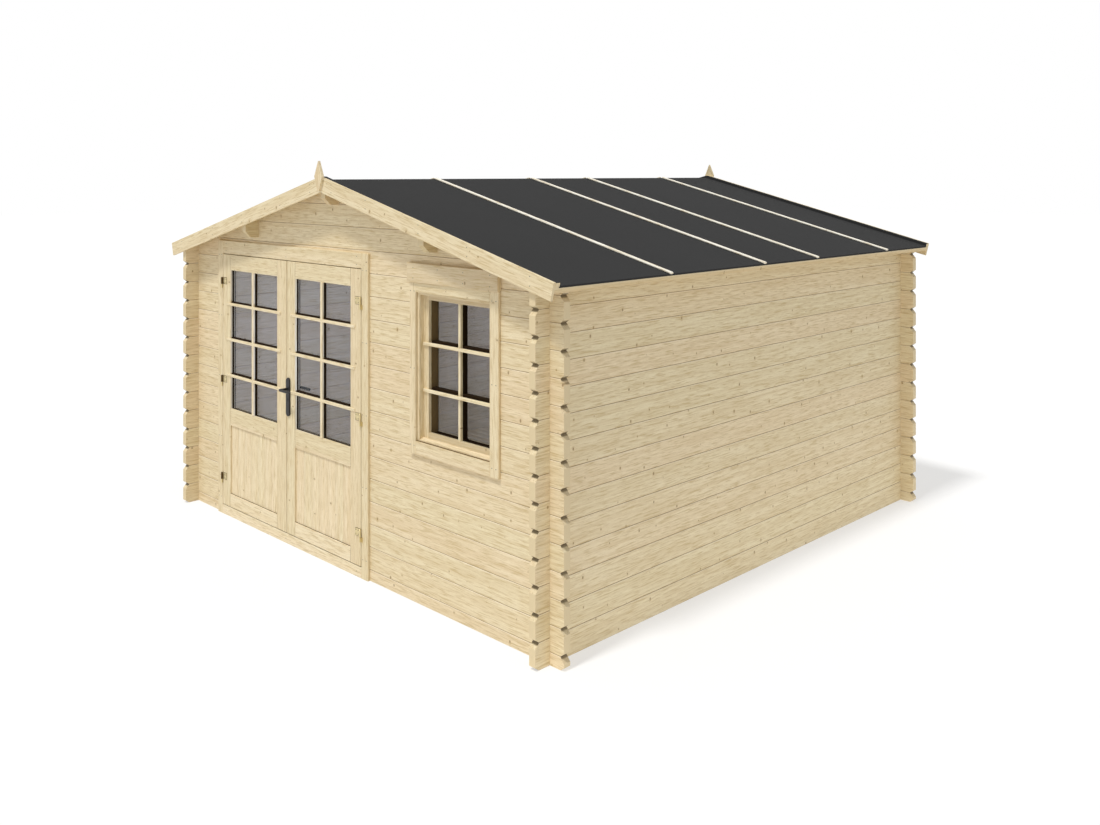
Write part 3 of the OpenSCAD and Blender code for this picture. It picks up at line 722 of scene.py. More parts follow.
for side in ("left", "right"):
    low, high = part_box(f"{side}_door_leaf")
    glass_low, glass_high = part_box(f"{side}_door_glass")
    panel_low, panel_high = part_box(f"{side}_door_panel")
    groove = Vector((GLASS_GROOVE, 0, GLASS_GROOVE))
    pane_low, pane_high = glass_low + groove, glass_high - groove
    panel_foot, panel_top = panel_low.z + GLASS_GROOVE, panel_high.z - GLASS_GROOVE
    leaf = bmesh.new()
    timber(leaf, low, (pane_low.x, high.y, high.z), ARRIS)
    timber(leaf, (pane_high.x, low.y, low.z), high, ARRIS)
    for foot, top, kind in (
        (low.z, panel_foot, PALE_CROSS), (panel_top, pane_low.z, CROSS), (pane_high.z, high.z, CROSS)
    ):
        timber(leaf, (pane_low.x, low.y, foot), (pane_high.x, high.y, top), ARRIS, kind)
        for x in (pane_low.x, pane_high.x):
            timber(
                leaf, (x - JOINT_HALF, low.y + JOINT_FRONT, foot),
                (x + JOINT_HALF, low.y + JOINT_BACK, top), SHARP / 2, GAP
            )
    # The shadow under the leaf
    timber(
        leaf, (low.x, low.y + JOINT_FRONT, low.z),
        (high.x, low.y + JOINT_BACK, low.z + FOOT_SHADOW), SHARP / 2, GAP
    )
    # Sealing strip in front of the pane, on the two sides and the foot of the opening, dark also as
    # painted shade
    for edge, inward in ((pane_low.x, 1), (pane_high.x, -1)):
        ends = sorted((edge - inward * SEAL_LET_IN, edge + inward * SEAL_PROUD))
        timber(
            leaf, (ends[0], low.y + SEAL_BACK, pane_low.z), (ends[1], glass_low.y, pane_high.z),
            SHARP, SEAL_AND_SHADE
        )
    timber(
        leaf, (pane_low.x, low.y + SEAL_BACK, pane_low.z - SEAL_LET_IN),
        (pane_high.x, glass_low.y, pane_low.z + SEAL_PROUD), SHARP, SEAL_AND_SHADE
    )
    # and round the opening behind it
    mitred_ring(leaf, pane_low, pane_high, (
        (-SEAL_PROUD, glass_high.y), (-SEAL_PROUD, high.y - SEAL_INSET),
        (SEAL_LET_IN, high.y - SEAL_INSET), (SEAL_LET_IN, glass_high.y),
    ), (SEAL_AND_SHADE, SEAL_AND_SHADE))
    # Painted shade in the joint between the bottom rail and the panel
    timber(
        leaf, (pane_low.x, panel_low.y - PANEL_JOINT_DEEP, panel_foot),
        (pane_high.x, panel_low.y, panel_foot + PANEL_JOINT), SHARP, GAP
    )
    # Glazing bars, with the spacers that keep them off the pane, dark as painted shade
    middle = (pane_low.x + pane_high.x) / 2
    bar_face, bar_back = low.y - UPRIGHT_BAR_PROUD, low.y - UPRIGHT_BAR_PROUD + BAR_THICK
    for half, front, back, kind in (
        (UPRIGHT_BAR_WIDE / 2, bar_face, bar_back, PALE_UPRIGHT),
        (UPRIGHT_BAR_WIDE / 2 - SPACER_INSET, bar_back, glass_low.y, SEAL_AND_SHADE),
    ):
        timber(leaf, (middle - half, front, pane_low.z), (middle + half, back, pane_high.z), ARRIS, kind)
    bar_face, bar_back = low.y - BAR_PROUD, low.y - BAR_PROUD + BAR_THICK
    for z in BAR_HEIGHTS:
        timber(
            leaf, (pane_low.x - BAR_OVER, bar_face, z - BAR_WIDE / 2),
            (pane_high.x + BAR_OVER, bar_back, z + BAR_WIDE / 2), ARRIS, PALE_CROSS
        )
        timber(
            leaf, (pane_low.x, bar_back, z + SPACER_RISE - BAR_WIDE / 2),
            (pane_high.x, glass_low.y, z + SPACER_RISE + BAR_WIDE / 2), ARRIS / 2, SEAL_AND_SHADE
        )
    joinery = finished_piece(
        leaf, f"{side}_leaf_joinery", upright_spruce, cross_spruce, seal_and_painted_shade, joint_shadow,
        pale_cross_spruce, pale_upright_spruce
    )
    fit_in(joinery, f"{side}_door", "planed_pine", f"{side}_door_leaf")


# ---- Door panels ----
# Upright tongue and groove spruce boards, their ends held in grooves of the leaf's rails. Their
# edges are eased, so that a fine V shows between them.
PANEL_BOARDS = 7
PANEL_ARRIS = 0.0014

panel_spruce = spruce(
    "panel_spruce", "ZXY", width=0.4, start=0.05, light="#f7eace", dark="#e5d3ae"
)
for side in ("left", "right"):
    low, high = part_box(f"{side}_door_panel")
    left_x, right_x = low.x + GLASS_GROOVE, high.x - GLASS_GROOVE
    pace = (right_x - left_x) / PANEL_BOARDS
    boards = grow(f"{side}_leaf_panel_boards", board_row, {
        "Count": PANEL_BOARDS, "Pace": pace, "Length": high.z - low.z,
        "Thickness": high.y - low.y, "Arris": PANEL_ARRIS, "Finish": panel_spruce,
    })
    # A row lying along X and Y stands up with its length along Z
    upright = Matrix((
        (0, 1, 0, left_x + pace / 2), (0, 0, 1, (low.y + high.y) / 2), (1, 0, 0, low.z), (0, 0, 0, 1)
    ))
    place_mesh(boards, upright)
    fit_in(boards, f"{side}_door", "planed_pine", f"{side}_door_panel")


# ---- Panes ----
# Clear float glass, 4 mm, one pane to a leaf and one in the sash. Each is set in a groove of
# its frame with dark sealing strip, which is also painted shade.
def float_glass():
    """Float glass with a faint haze. The eye gets a smooth grey pane before the dim room, which
    brightens where it is seen at a slant."""
    made = empty_material("float_glass")
    tree = made.node_tree
    place = add(tree, "ShaderNodeTexCoord")
    haze = add(
        tree, "ShaderNodeTexNoise", {"Vector": place.outputs["Object"], "Scale": 2.0, "Detail": 2.0}
    )
    colour = add(
        tree, "ShaderNodeMix", {0: haze, COLOUR_A: srgb("#606163"), COLOUR_B: srgb("#636466")},
        data_type="RGBA"
    )
    surface = add(
        tree, "ShaderNodeBsdfPrincipled",
        {"Base Color": colour, "Roughness": 0.04, "Alpha": 0.3, "Specular IOR Level": 0.35}
    )
    add(tree, "ShaderNodeOutputMaterial", {"Surface": surface})
    return made


finish(float_glass(), "left_door_glass", "right_door_glass", "window_glass")


# ---- Hinges ----
# Zinc plated steel lift-off hinges, three to a leaf. A leaf's plate is screwed to its face and
# rolled into a knuckle, which sits over a pin on the casing.
HINGE_HEIGHTS = (0.253, 0.958, 1.669)
KNUCKLE_HIGH = 0.048
KNUCKLE_RADIUS = 0.0065
KNUCKLE_EASED = 0.001
HINGE_PLATE_THICK = 0.003
# Where the plate ends, and the two sides of the neck between it and its knuckle, counted in
# the knuckle's radius from its axis
PLATE_END = 0.6
NECK_SIDES = (0.9, 0.5)
# Sides of a round body
TURNED_SIDES = 20
# The dark bed round each plate, painted shadow that outlines it
BED_SHOW = 0.0022
BED_THICK = 0.0012
# Places in a hinge's list of finishes
PLATED, SHADED_ZINC = 0, 1

# Yellow zinc plating: the eye gets a bright pale brass gleam
yellow_zinc = plain_material(
    "yellow_zinc", "#e9d9ab", roughness=0.35, metallic=1.0, cloud_scale=60.0, shade="#8a7444",
    share=0.45
)
# The same plating as painted shade, on the left knuckles, the necks and the beds round the
# plates: the eye gets a dull dark brown
zinc_painted_shade = plain_material(
    "zinc_painted_shade", "#5b4620", roughness=0.5, metallic=0.5, cloud_scale=60.0, shade="#3f3018",
    share=0.5
)


def close_tube(mesh, rings, kind=0):
    """Adds the skin between rings of points, and a lid on each end."""
    skin = [mesh.faces.new(rings[0]), mesh.faces.new(rings[-1])]
    for ring, after in zip(rings, rings[1:]):
        for place in range(len(ring)):
            follow = (place + 1) % len(ring)
            skin.append(mesh.faces.new((ring[place], ring[follow], after[follow], after[place])))
    for face in skin:
        face.material_index = kind


def turned(mesh, centre, sections, direction, kind=0):
    """Adds a round body to a mesh, given as pairs: the distance along direction, and radius."""
    direction = Vector(direction)
    aside = direction.orthogonal().normalized()
    rings = []
    for distance, radius in sections:
        rings.append([
            mesh.verts.new(
                Vector(centre) + direction * distance
                + Matrix.Rotation(2 * math.pi * step / TURNED_SIDES, 3, direction) @ (aside * radius)
            )
            for step in range(TURNED_SIDES)
        ])
    close_tube(mesh, rings, kind)


for side, way in (("left", -1), ("right", 1)):
    low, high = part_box(f"{side}_door_hinges")
    outer_x, inner_x = (low.x, high.x) if side == "left" else (high.x, low.x)
    axis_x, axis_y = outer_x - way * KNUCKLE_RADIUS, low.y + KNUCKLE_RADIUS
    worked = bmesh.new()
    for z in HINGE_HEIGHTS:
        plate_y = high.y - HINGE_PLATE_THICK
        ends = sorted((inner_x, axis_x - way * KNUCKLE_RADIUS * PLATE_END))
        timber(
            worked, (ends[0] + BED_SHOW, plate_y, z + BED_SHOW),
            (ends[1] - BED_SHOW, high.y, z + KNUCKLE_HIGH - BED_SHOW), KNUCKLE_EASED
        )
        # The plate lies in a shallow bed, dark round it as painted shadow
        timber(
            worked, (ends[0], high.y - BED_THICK, z), (ends[1], high.y, z + KNUCKLE_HIGH), SHARP, SHADED_ZINC
        )
        # The neck between the plate and its knuckle
        ends = sorted(axis_x - way * KNUCKLE_RADIUS * edge for edge in NECK_SIDES)
        timber(
            worked, (ends[0], axis_y, z), (ends[1], high.y, z + KNUCKLE_HIGH), KNUCKLE_EASED / 4, SHADED_ZINC
        )
        roll = (
            (0, KNUCKLE_RADIUS - KNUCKLE_EASED), (KNUCKLE_EASED, KNUCKLE_RADIUS),
            (KNUCKLE_HIGH - KNUCKLE_EASED, KNUCKLE_RADIUS), (KNUCKLE_HIGH, KNUCKLE_RADIUS - KNUCKLE_EASED)
        )
        # Painted shade on the left leaf's knuckles; the right leaf's stay bright
        turned(worked, (axis_x, axis_y, z), roll, (0, 0, 1), SHADED_ZINC if side == "left" else PLATED)
    hinges = finished_piece(worked, f"{side}_leaf_hinges", yellow_zinc, zinc_painted_shade)
    fit_in(hinges, f"{side}_door", "zinc_steel", f"{side}_door_hinges")
finish(yellow_zinc, "door_hinge_pins")


# ---- Handle set ----
# A black lacquered steel plate on each side of the right leaf, and a lever on each side on one
# spindle. The lever bends out of its neck and tapers to a round tip.
PLATE_ROUND = 0.0025
PLATE_STEPS = 12
# A plate's edge from back to front: how far in, counted in PLATE_ROUND, and how far back from
# its face, counted in its thickness
PLATE_EDGE = ((0, 1), (0, 0.3), (0.3, 0.1), (1, 0))
KEYHOLE_DROP = 0.072
# The lever's collar and the lock's barrel, as distances out of the plate with their radii
COLLAR = ((0, 0.014), (0.003, 0.0135), (0.004, 0.0125))
BARREL = ((0, 0.0085), (0.002, 0.0085), (0.0025, 0.008))
# The lever: the radius of its neck, of the path round its bend and of the lever there, and its
# grip, as shares of its length with their radii
NECK_RADIUS = 0.008
BEND = 0.009
BEND_STEPS = 6
BENT_RADIUS = 0.0085
GRIP = ((0.35, 0.0092), (0.7, 0.0092), (0.9, 0.0088), (0.95, 0.0082), (0.985, 0.006), (1, 0.0025))
LEVER_SIDES = 16

# Powder-coated steel: the eye gets a deep black with a broad soft sheen
black_lacquer = plain_material(
    "black_lacquer", "#121010", roughness=0.48, cloud_scale=900.0, shade="#201e1e", share=0.6
)


def long_plate(mesh, middle_x, foot, top, back, front, half):
    """Adds a plate with half-round ends to a mesh, its front edge rounded."""
    rings = []
    for inward, backward in PLATE_EDGE:
        inset, y = PLATE_ROUND * inward, front + (back - front) * backward
        ring = []
        for end, centre in ((0, top - half), (math.pi, foot + half)):
            for step in range(PLATE_STEPS + 1):
                angle = end + math.pi * step / PLATE_STEPS
                ring.append(mesh.verts.new((
                    middle_x + (half - inset) * math.cos(angle), y,
                    centre + (half - inset) * math.sin(angle)
                )))
        rings.append(ring)
    close_tube(mesh, rings)


plates_low, plates_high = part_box("handle_plates")
levers_low, levers_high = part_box("handle_levers")
leaf_low, leaf_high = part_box("right_door_leaf")
handle_x = (plates_low.x + plates_high.x) / 2
plate_half = (plates_high.x - plates_low.x) / 2
lever_radius = (levers_high.z - levers_low.z) / 2
handle_z = (levers_high.z + levers_low.z) / 2

worked = bmesh.new()
for back, front in ((leaf_low.y, plates_low.y), (leaf_high.y, plates_high.y)):
    outward = 1 if front > back else -1
    long_plate(worked, handle_x, plates_low.z, plates_high.z, back, front, plate_half)
    turned(worked, (handle_x, front, handle_z), COLLAR, (0, outward, 0))
    turned(worked, (handle_x, front, handle_z - KEYHOLE_DROP), BARREL, (0, outward, 0))
plates = finished_piece(worked, "handle_plate_pair", black_lacquer)
fit_in(plates, "right_door", "black_metal", "handle_plates")


def lever(mesh, root_y, arm_y):
    """Adds a lever that runs out from root_y, turns on a quarter bend and runs on along X."""
    outward = 1 if arm_y > root_y else -1
    far = abs(arm_y - root_y)
    length = levers_high.x - handle_x
    path = [(0, 0, NECK_RADIUS), (0, far - BEND, NECK_RADIUS)]
    for step in range(1, BEND_STEPS + 1):
        angle = math.pi / 2 * step / BEND_STEPS
        path.append((
            BEND * (1 - math.cos(angle)), far - BEND * (1 - math.sin(angle)), BENT_RADIUS
        ))
    for share, radius in GRIP:
        path.append((BEND + (length - BEND) * share, far, radius))
    rings = []
    for place, (x, out, radius) in enumerate(path):
        before, after = path[max(place - 1, 0)], path[min(place + 1, len(path) - 1)]
        run = Vector((after[0] - before[0], outward * (after[1] - before[1]), 0)).normalized()
        side = run.cross(Vector((0, 0, 1)))
        centre = Vector((handle_x + x, root_y + outward * out, handle_z))
        rings.append([
            mesh.verts.new(centre + radius * (
                side * math.cos(2 * math.pi * step / LEVER_SIDES)
                + Vector((0, 0, 1)) * math.sin(2 * math.pi * step / LEVER_SIDES)
            ))
            for step in range(LEVER_SIDES)
        ])
    close_tube(mesh, rings)


worked = bmesh.new()
leaf_middle = (leaf_low.y + leaf_high.y) / 2
lever(worked, leaf_middle, levers_low.y + lever_radius)
lever(worked, leaf_middle, levers_high.y - lever_radius)
# The lever inside the room is unlit: the eye gets a plain black bar through the pane
unlit_lacquer = plain_material(
    "unlit_black_lacquer", "#020202", roughness=0.7, cloud_scale=900.0, shade="#040303", share=0.5,
    gloss=0.0
)
levers = finished_piece(worked, "handle_lever_pair", black_lacquer, unlit_lacquer)
for face in levers.data.polygons:
    face.use_smooth = True
    face.material_index = int(face.center.y > leaf_high.y)
fit_in(levers, "door_handle", "black_metal", "handle_levers")


# ---- Window ----
# A fixed spruce frame and sash in the logs. The pane lies deep in the sash behind a bead and
# a lining coloured brown-grey as painted shade, with glazing bars nailed over the sash as on
# the doors.
# How much of the frame shows between the sash and the casing boards
FRAME_SHOW = 0.016
LEFT_STILE = 0.042
RIGHT_STILE = 0.034
STILE_DEEP = 0.022
SILL_FALL = 0.01
SASH_RAIL = 0.0295
HEAD_ARRIS = 0.003
WINDOW_BAR_HEIGHTS = (1.2255, 1.493)
WINDOW_BAR_WIDE = 0.0195
# A level bar: how far it stands out of the sash, how far its ends stay from the sash's edges,
# and how deep it is let in
WINDOW_BAR_PROUD = 0.01
WINDOW_BAR_INSET = 0.002
WINDOW_BAR_LET_IN = 0.001
# The upright bar: how far behind the sash's face it starts, and its depth
WINDOW_UPRIGHT_BACK = 0.0055
WINDOW_UPRIGHT_DEEP = 0.019
# The spacers behind the bars, dark as painted shade: their back, counted from the sash's face,
# how much higher the level ones lie, and how much narrower the upright one is on each side
WINDOW_SPACER_BACK = 0.06
WINDOW_SPACER_RISE = 0.007
WINDOW_SPACER_INSET = 0.001
# The depth of the rails' eased face, and how far the lining starts below the lower rail's top
RAIL_FACE = 0.003
LINING_DROP = 0.01
# Sealing strip under the pane: how deep it is, how far it goes below the lining's foot, and
# how far it stays below the rail
UNDER_STRIP_DEEP = 0.004
UNDER_STRIP_DROP = 0.002
UNDER_STRIP_CLEAR = 0.001
# The dark gap over the lower casing board: how far behind its face, and how high
CASING_GAP_BACK = 0.0016
CASING_GAP_HIGH = 0.0008
# Places in the sash's list of finishes, after its two spruces
LINING, STRIP, SHADED_RAIL, PALE_BAR, PALE_POST = 2, 3, 4, 5, 6

# Brown-grey lining, a shaded copy of the wood as painted shade: the eye gets a dull brown-grey
# strip between the bead and the pane
lining_painted_shade = plain_material(
    "lining_painted_shade", "#79633c", roughness=0.75, cloud_scale=30.0, shade="#69532f", share=0.8
)
# The sash's head and foot and the board over it take darker copies of the spruce: painted shade
rail_spruce_painted_shade = spruce("rail_spruce_painted_shade", **CROSS_ROWS, light="#d9ccb0", dark="#c7b591")
head_spruce_painted_shade = spruce("head_spruce_painted_shade", **CROSS_ROWS, light="#e2d5b8", dark="#cfbd99")
outer_low, outer_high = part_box("window_frame")
sash_low, sash_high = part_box("window_sash")
glass_low, glass_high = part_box("window_glass")
open_low = Vector((sash_low.x, outer_low.y, sash_low.z))
open_high = Vector((sash_high.x, outer_high.y, sash_high.z))

worked = bmesh.new()
timber(worked, outer_low, (open_low.x, outer_high.y, outer_high.z))
timber(worked, (open_high.x, outer_low.y, outer_low.z), outer_high)
for foot, top, front in (
    (open_high.z, outer_high.z, outer_low.y), (outer_low.z, open_low.z, sash_low.y)
):
    timber(worked, (open_low.x, front, foot), (open_high.x, outer_high.y, top), kind=CROSS)
timber(
    worked, (open_low.x, outer_low.y, outer_low.z),
    (open_high.x, sash_low.y, open_low.z), ARRIS / 2, CROSS
)
# The sill falls to the front: its eased front edge is moved down
for vert in worked.verts:
    at_edge = vert.co.y < outer_low.y + ARRIS and abs(vert.co.z - open_low.z) < ARRIS
    if at_edge and open_low.x - ARRIS / 2 < vert.co.x < open_high.x + ARRIS / 2:
        vert.co.z -= SILL_FALL
window_boards = finished_piece(worked, "window_frame_boards", upright_spruce, cross_spruce)
fit_in(window_boards, "house", "planed_pine", "window_frame")

worked = bmesh.new()
light_low = Vector((open_low.x + LEFT_STILE, 0, open_low.z + SASH_RAIL))
light_high = Vector((open_high.x - RIGHT_STILE, 0, open_high.z - SASH_RAIL))
bead_y = sash_low.y + STILE_DEEP
for ends in ((sash_low.x, light_low.x), (light_high.x, sash_high.x)):
    timber(worked, (ends[0], sash_low.y, sash_low.z), (ends[1], bead_y, sash_high.z), ARRIS)
for z in (sash_low.z, light_high.z):
    for front, back, arris in (
        (sash_low.y, sash_low.y + RAIL_FACE, ARRIS / 2), (sash_low.y + RAIL_FACE, bead_y, ARRIS / 4)
    ):
        timber(worked, (light_low.x, front, z), (light_high.x, back, z + SASH_RAIL), arris, SHADED_RAIL)
# The lining's foot lies lower than the rail before it, which hides it from above
lining_low = light_low - Vector((0, 0, LINING_DROP))
for hole, kinds, front, back in (
    (lining_low, (LINING, STRIP), bead_y, glass_low.y),
    (light_low, (UPRIGHT, CROSS), glass_high.y, sash_high.y)
):
    deep = hole.z - sash_low.z
    profile = ((0, front), (0, back), (deep, back), (deep, front))
    mitred_ring(worked, hole, light_high, profile, kinds)
# Sealing strip under the pane, in front of it, dark also as painted shade
timber(
    worked, (light_low.x, glass_low.y - UNDER_STRIP_DEEP, lining_low.z - UNDER_STRIP_DROP),
    (light_high.x, glass_low.y, light_low.z - UNDER_STRIP_CLEAR), ARRIS / 4, STRIP
)
middle = (light_low.x + light_high.x) / 2
half = WINDOW_BAR_WIDE / 2
upright_y = sash_low.y + WINDOW_UPRIGHT_BACK
spacer_y = upright_y + WINDOW_UPRIGHT_DEEP
spacer_back = sash_low.y + WINDOW_SPACER_BACK
timber(
    worked, (middle - half, upright_y, light_low.z), (middle + half, spacer_y, light_high.z),
    ARRIS, PALE_POST
)
timber(
    worked, (middle - half + WINDOW_SPACER_INSET, spacer_y, light_low.z),
    (middle + half - WINDOW_SPACER_INSET, spacer_back, light_high.z), ARRIS / 2, STRIP
)
for z in WINDOW_BAR_HEIGHTS:
    timber(
        worked, (sash_low.x + WINDOW_BAR_INSET, sash_low.y - WINDOW_BAR_PROUD, z - half),
        (sash_high.x - WINDOW_BAR_INSET, sash_low.y + WINDOW_BAR_LET_IN, z + half), ARRIS, PALE_BAR
    )
    timber(
        worked, (light_low.x, spacer_y, z + WINDOW_SPACER_RISE - half),
        (light_high.x, spacer_back, z + WINDOW_SPACER_RISE + half), ARRIS / 2, STRIP
    )
sash = finished_piece(
    worked, "window_sash_joinery", upright_spruce, cross_spruce, lining_painted_shade, seal_and_painted_shade,
    rail_spruce_painted_shade, pale_cross_spruce, pale_upright_spruce
)
fit_in(sash, "house", "planed_pine", "window_sash")

side_low, side_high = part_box("window_side_trims")
end_low, end_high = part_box("window_end_trims")
worked = bmesh.new()
lower_top = open_low.z - FRAME_SHOW
timber(worked, side_low, (end_low.x, side_high.y, side_high.z), ARRIS)
timber(worked, (end_high.x, side_low.y, side_low.z), side_high, ARRIS)
timber(worked, end_low, (end_high.x, end_high.y, lower_top), ARRIS, CROSS)
timber(worked, (end_low.x, end_low.y, open_high.z + FRAME_SHOW), end_high, ARRIS, CROSS)
# Painted shade in the gap over the lower board: a thin dark line along its edge
timber(
    worked, (end_low.x, end_low.y + CASING_GAP_BACK, lower_top - CASING_GAP_HIGH),
    (end_high.x, end_high.y, lower_top + SHARP), SHARP, LINING
)
window_casing = finished_piece(
    worked, "window_casing", upright_spruce, cross_spruce, lining_painted_shade
)
fit_in(window_casing, "house", "planed_pine", "window_side_trims", "window_end_trims")

head_board_low, head_board_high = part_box("window_head_board")
worked = bmesh.new()
timber(worked, head_board_low, head_board_high, HEAD_ARRIS)
window_head = finished_piece(worked, "window_head", head_spruce_painted_shade)
fit_in(window_head, "house", "planed_pine", "window_head_board")


# ---- Screws and nails ----
# Countersunk cross-slot screws hold the casings, bargeboards, hinges and handle plates. Round
# nails hold the battens, and small ones the glazing bars.
HEAD_SIDES = 12
# A slot's length, counted in its head's radius, and its height, counted in its head's own
SLOT_LENGTH = 1.25
SLOT_HEIGHT = 1.2
# Each fixing's radius, how far its head stands out, and the width of its slot. A nail's slot
# is too narrow to show.
CASING_SCREW = (0.0038, 0.0006, 0.0011)
HINGE_SCREW = (0.0034, 0.0006, 0.001)
HANDLE_SCREW = (0.004, 0.0008, 0.0012)
BATTEN_NAIL = (0.003, 0.0008, 0.0001)
BAR_NAIL = (0.0017, 0.0004, 0.0001)
# Heights of the screws in the door's side casings, and places of those in half a bargeboard,
# counted from the ridge
CASING_SCREW_HEIGHTS = (0.12, 0.56, 1.0, 1.44, 1.88)
BARGEBOARD_SCREW_PLACES = (0.12, 0.48, 0.985, 1.4, 1.88)
# Half the distance between the two screws of a pair
DOOR_PAIR = 0.018
DOOR_HEAD_PAIR = 0.025
WINDOW_PAIR = 0.016
WINDOW_HEAD_PAIR = 0.03
BARGEBOARD_PAIR = 0.024
# How far the outer screws or nails are from a board's ends
SCREW_INSET = 0.05
HEAD_SCREW_INSET = 0.06
NAIL_INSET = 0.1
BAR_NAIL_INSET = 0.012
HANDLE_SCREW_INSET = 0.018
HEAD_SCREW_PAIRS = 4
NAILS_PER_BATTEN = 7
# Screws on a hinge plate, in from its inner edge and up from its foot
HINGE_SCREW_PLACES = ((0.01, 0.012), (0.01, 0.036), (0.034, 0.012), (0.034, 0.036))

# Bright zinc: the eye gets a small cool glint in the wood
bright_zinc = plain_material(
    "bright_zinc", "#c9bfa4", roughness=0.4, metallic=0.9, cloud_scale=300.0, shade="#8f8770",
    share=0.5
)
# The bottom of the cross slot: the eye gets a dark cross that marks a screw
slot_shadow = plain_material("slot_shadow", "#2b2822", roughness=0.9)
# Darker brown hinge screws: the eye gets dull brown dots on the brass plates
dark_hinge_screw = plain_material(
    "dark_hinge_screw", "#7d6a3f", roughness=0.5, metallic=0.6, cloud_scale=300.0, shade="#4c3e22",
    share=0.5
)


def fixing_heads():
    """A round head of Radius on each point, turned along the point's facing. It stands out by
    Rise, and has a cross slot of the given Slot width."""
    tree, given = open_tree("fixing_heads", (
        ("Points", "NodeSocketGeometry"), ("Radius", "NodeSocketFloat"), ("Rise", "NodeSocketFloat"),
        ("Slot", "NodeSocketFloat"), ("Finish", "NodeSocketMaterial"),
        ("Slot Finish", "NodeSocketMaterial"),
    ))
    head = add(
        tree, "GeometryNodeMeshCylinder",
        {"Vertices": HEAD_SIDES, "Radius": given["Radius"], "Depth": given["Rise"]}
    )
    reach = add(tree, "ShaderNodeMath", {0: given["Radius"], 1: SLOT_LENGTH}, operation="MULTIPLY")
    proud = add(tree, "ShaderNodeMath", {0: given["Rise"], 1: SLOT_HEIGHT}, operation="MULTIPLY")
    arms = []
    for sides in ((reach, given["Slot"]), (given["Slot"], reach)):
        size = add(tree, "ShaderNodeCombineXYZ", {0: sides[0], 1: sides[1], 2: proud})
        arms.append(add(tree, "GeometryNodeMeshCube", {"Size": size}))
    cross = add(tree, "GeometryNodeJoinGeometry")
    for arm in arms:
        tree.links.new(arm.outputs[0], cross.inputs[0])
    marked = add(
        tree, "GeometryNodeStoreNamedAttribute",
        {"Geometry": cross, "Name": "in_slot", "Value": 1.0}, data_type="FLOAT", domain="FACE"
    )
    screw = add(tree, "GeometryNodeJoinGeometry")
    for part in (head, marked):
        tree.links.new(part.outputs[0], screw.inputs[0])
    facing = add(tree, "GeometryNodeInputNamedAttribute", {"Name": "facing"}, data_type="FLOAT_VECTOR")
    turn = add(tree, "FunctionNodeAlignRotationToVector", {"Vector": facing}, axis="Z")
    placed = add(
        tree, "GeometryNodeInstanceOnPoints",
        {"Points": given["Points"], "Instance": screw, "Rotation": turn}
    )
    solid = add(tree, "GeometryNodeRealizeInstances", {"Geometry": placed})
    in_slot = add(tree, "GeometryNodeInputNamedAttribute", {"Name": "in_slot"}, data_type="FLOAT")
    plated = add(tree, "GeometryNodeSetMaterial", {"Geometry": solid, "Material": given["Finish"]})
    finished = add(
        tree, "GeometryNodeSetMaterial",
        {"Geometry": plated, "Selection": in_slot, "Material": given["Slot Finish"]}
    )
    add(tree, "NodeGroupOutput", {"Result": finished})
    return tree


heads = fixing_heads()


def drive(name, body, slot, spots, sizes, metal):
    """Puts fixings on spots, given as pairs: a place on a surface, and the way it faces."""
    radius, rise, slot_width = sizes
    start = bpy.data.meshes.new(f"{name}_spots")
    start.from_pydata([spot for spot, _ in spots], [], [])
    ways = start.attributes.new("facing", "FLOAT_VECTOR", "POINT")
    for place, (_, way) in enumerate(spots):
        ways.data[place].vector = way
    made = grow(name, heads, {
        "Radius": radius, "Rise": rise, "Slot": slot_width, "Finish": metal,
        "Slot Finish": slot_shadow,
    }, start)
    fit_in(made, body, slot)


FRONT, BACK = Vector((0, -1, 0)), Vector((0, 1, 0))
screws = []
for x in ((casing_low.x + head_low.x) / 2, (casing_high.x + head_high.x) / 2):
    for z in CASING_SCREW_HEIGHTS:
        screws += [((x + aside, casing_low.y, z), FRONT) for aside in (-DOOR_PAIR, DOOR_PAIR)]
head_z = (head_low.z + head_high.z) / 2
for x in (head_low.x + SCREW_INSET, (head_low.x + head_high.x) / 2, head_high.x - SCREW_INSET):
    screws += [((x, head_low.y, head_z + up), FRONT) for up in (-DOOR_HEAD_PAIR, DOOR_HEAD_PAIR)]
    screws.append(((x, sill_low.y, (sill_low.z + sill_high.z) / 2), FRONT))
for x in ((side_low.x + end_low.x) / 2, (side_high.x + end_high.x) / 2):
    for z in (side_low.z + SCREW_INSET, (side_low.z + side_high.z) / 2, side_high.z - SCREW_INSET):
        screws += [((x + aside, side_low.y, z), FRONT) for aside in (-WINDOW_PAIR, WINDOW_PAIR)]
middle_z = (head_board_low.z + head_board_high.z) / 2
first_x, last_x = head_board_low.x + HEAD_SCREW_INSET, head_board_high.x - HEAD_SCREW_INSET
for step in range(HEAD_SCREW_PAIRS):
    x = first_x + step * (last_x - first_x) / (HEAD_SCREW_PAIRS - 1)
    for up in (-WINDOW_HEAD_PAIR, WINDOW_HEAD_PAIR):
        screws.append(((x, head_board_low.y, middle_z + up), FRONT))
for end, way in (("front", FRONT), ("back", BACK)):
    barge_low, barge_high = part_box(f"{end}_bargeboard_right")
    face_y = barge_low.y if end == "front" else barge_high.y
    depth = barge_high.z - barge_low.z - (barge_high.x - barge_low.x) * math.tan(PITCH)
    for side in (-1, 1):
        for x in BARGEBOARD_SCREW_PLACES:
            middle_z = barge_high.z - depth / 2 - x * math.tan(PITCH)
            for up in (-BARGEBOARD_PAIR, BARGEBOARD_PAIR):
                screws.append(((side * x, face_y, middle_z + up), way))
drive("casing_and_bargeboard_screws", "house", "zinc_steel", screws, CASING_SCREW, bright_zinc)

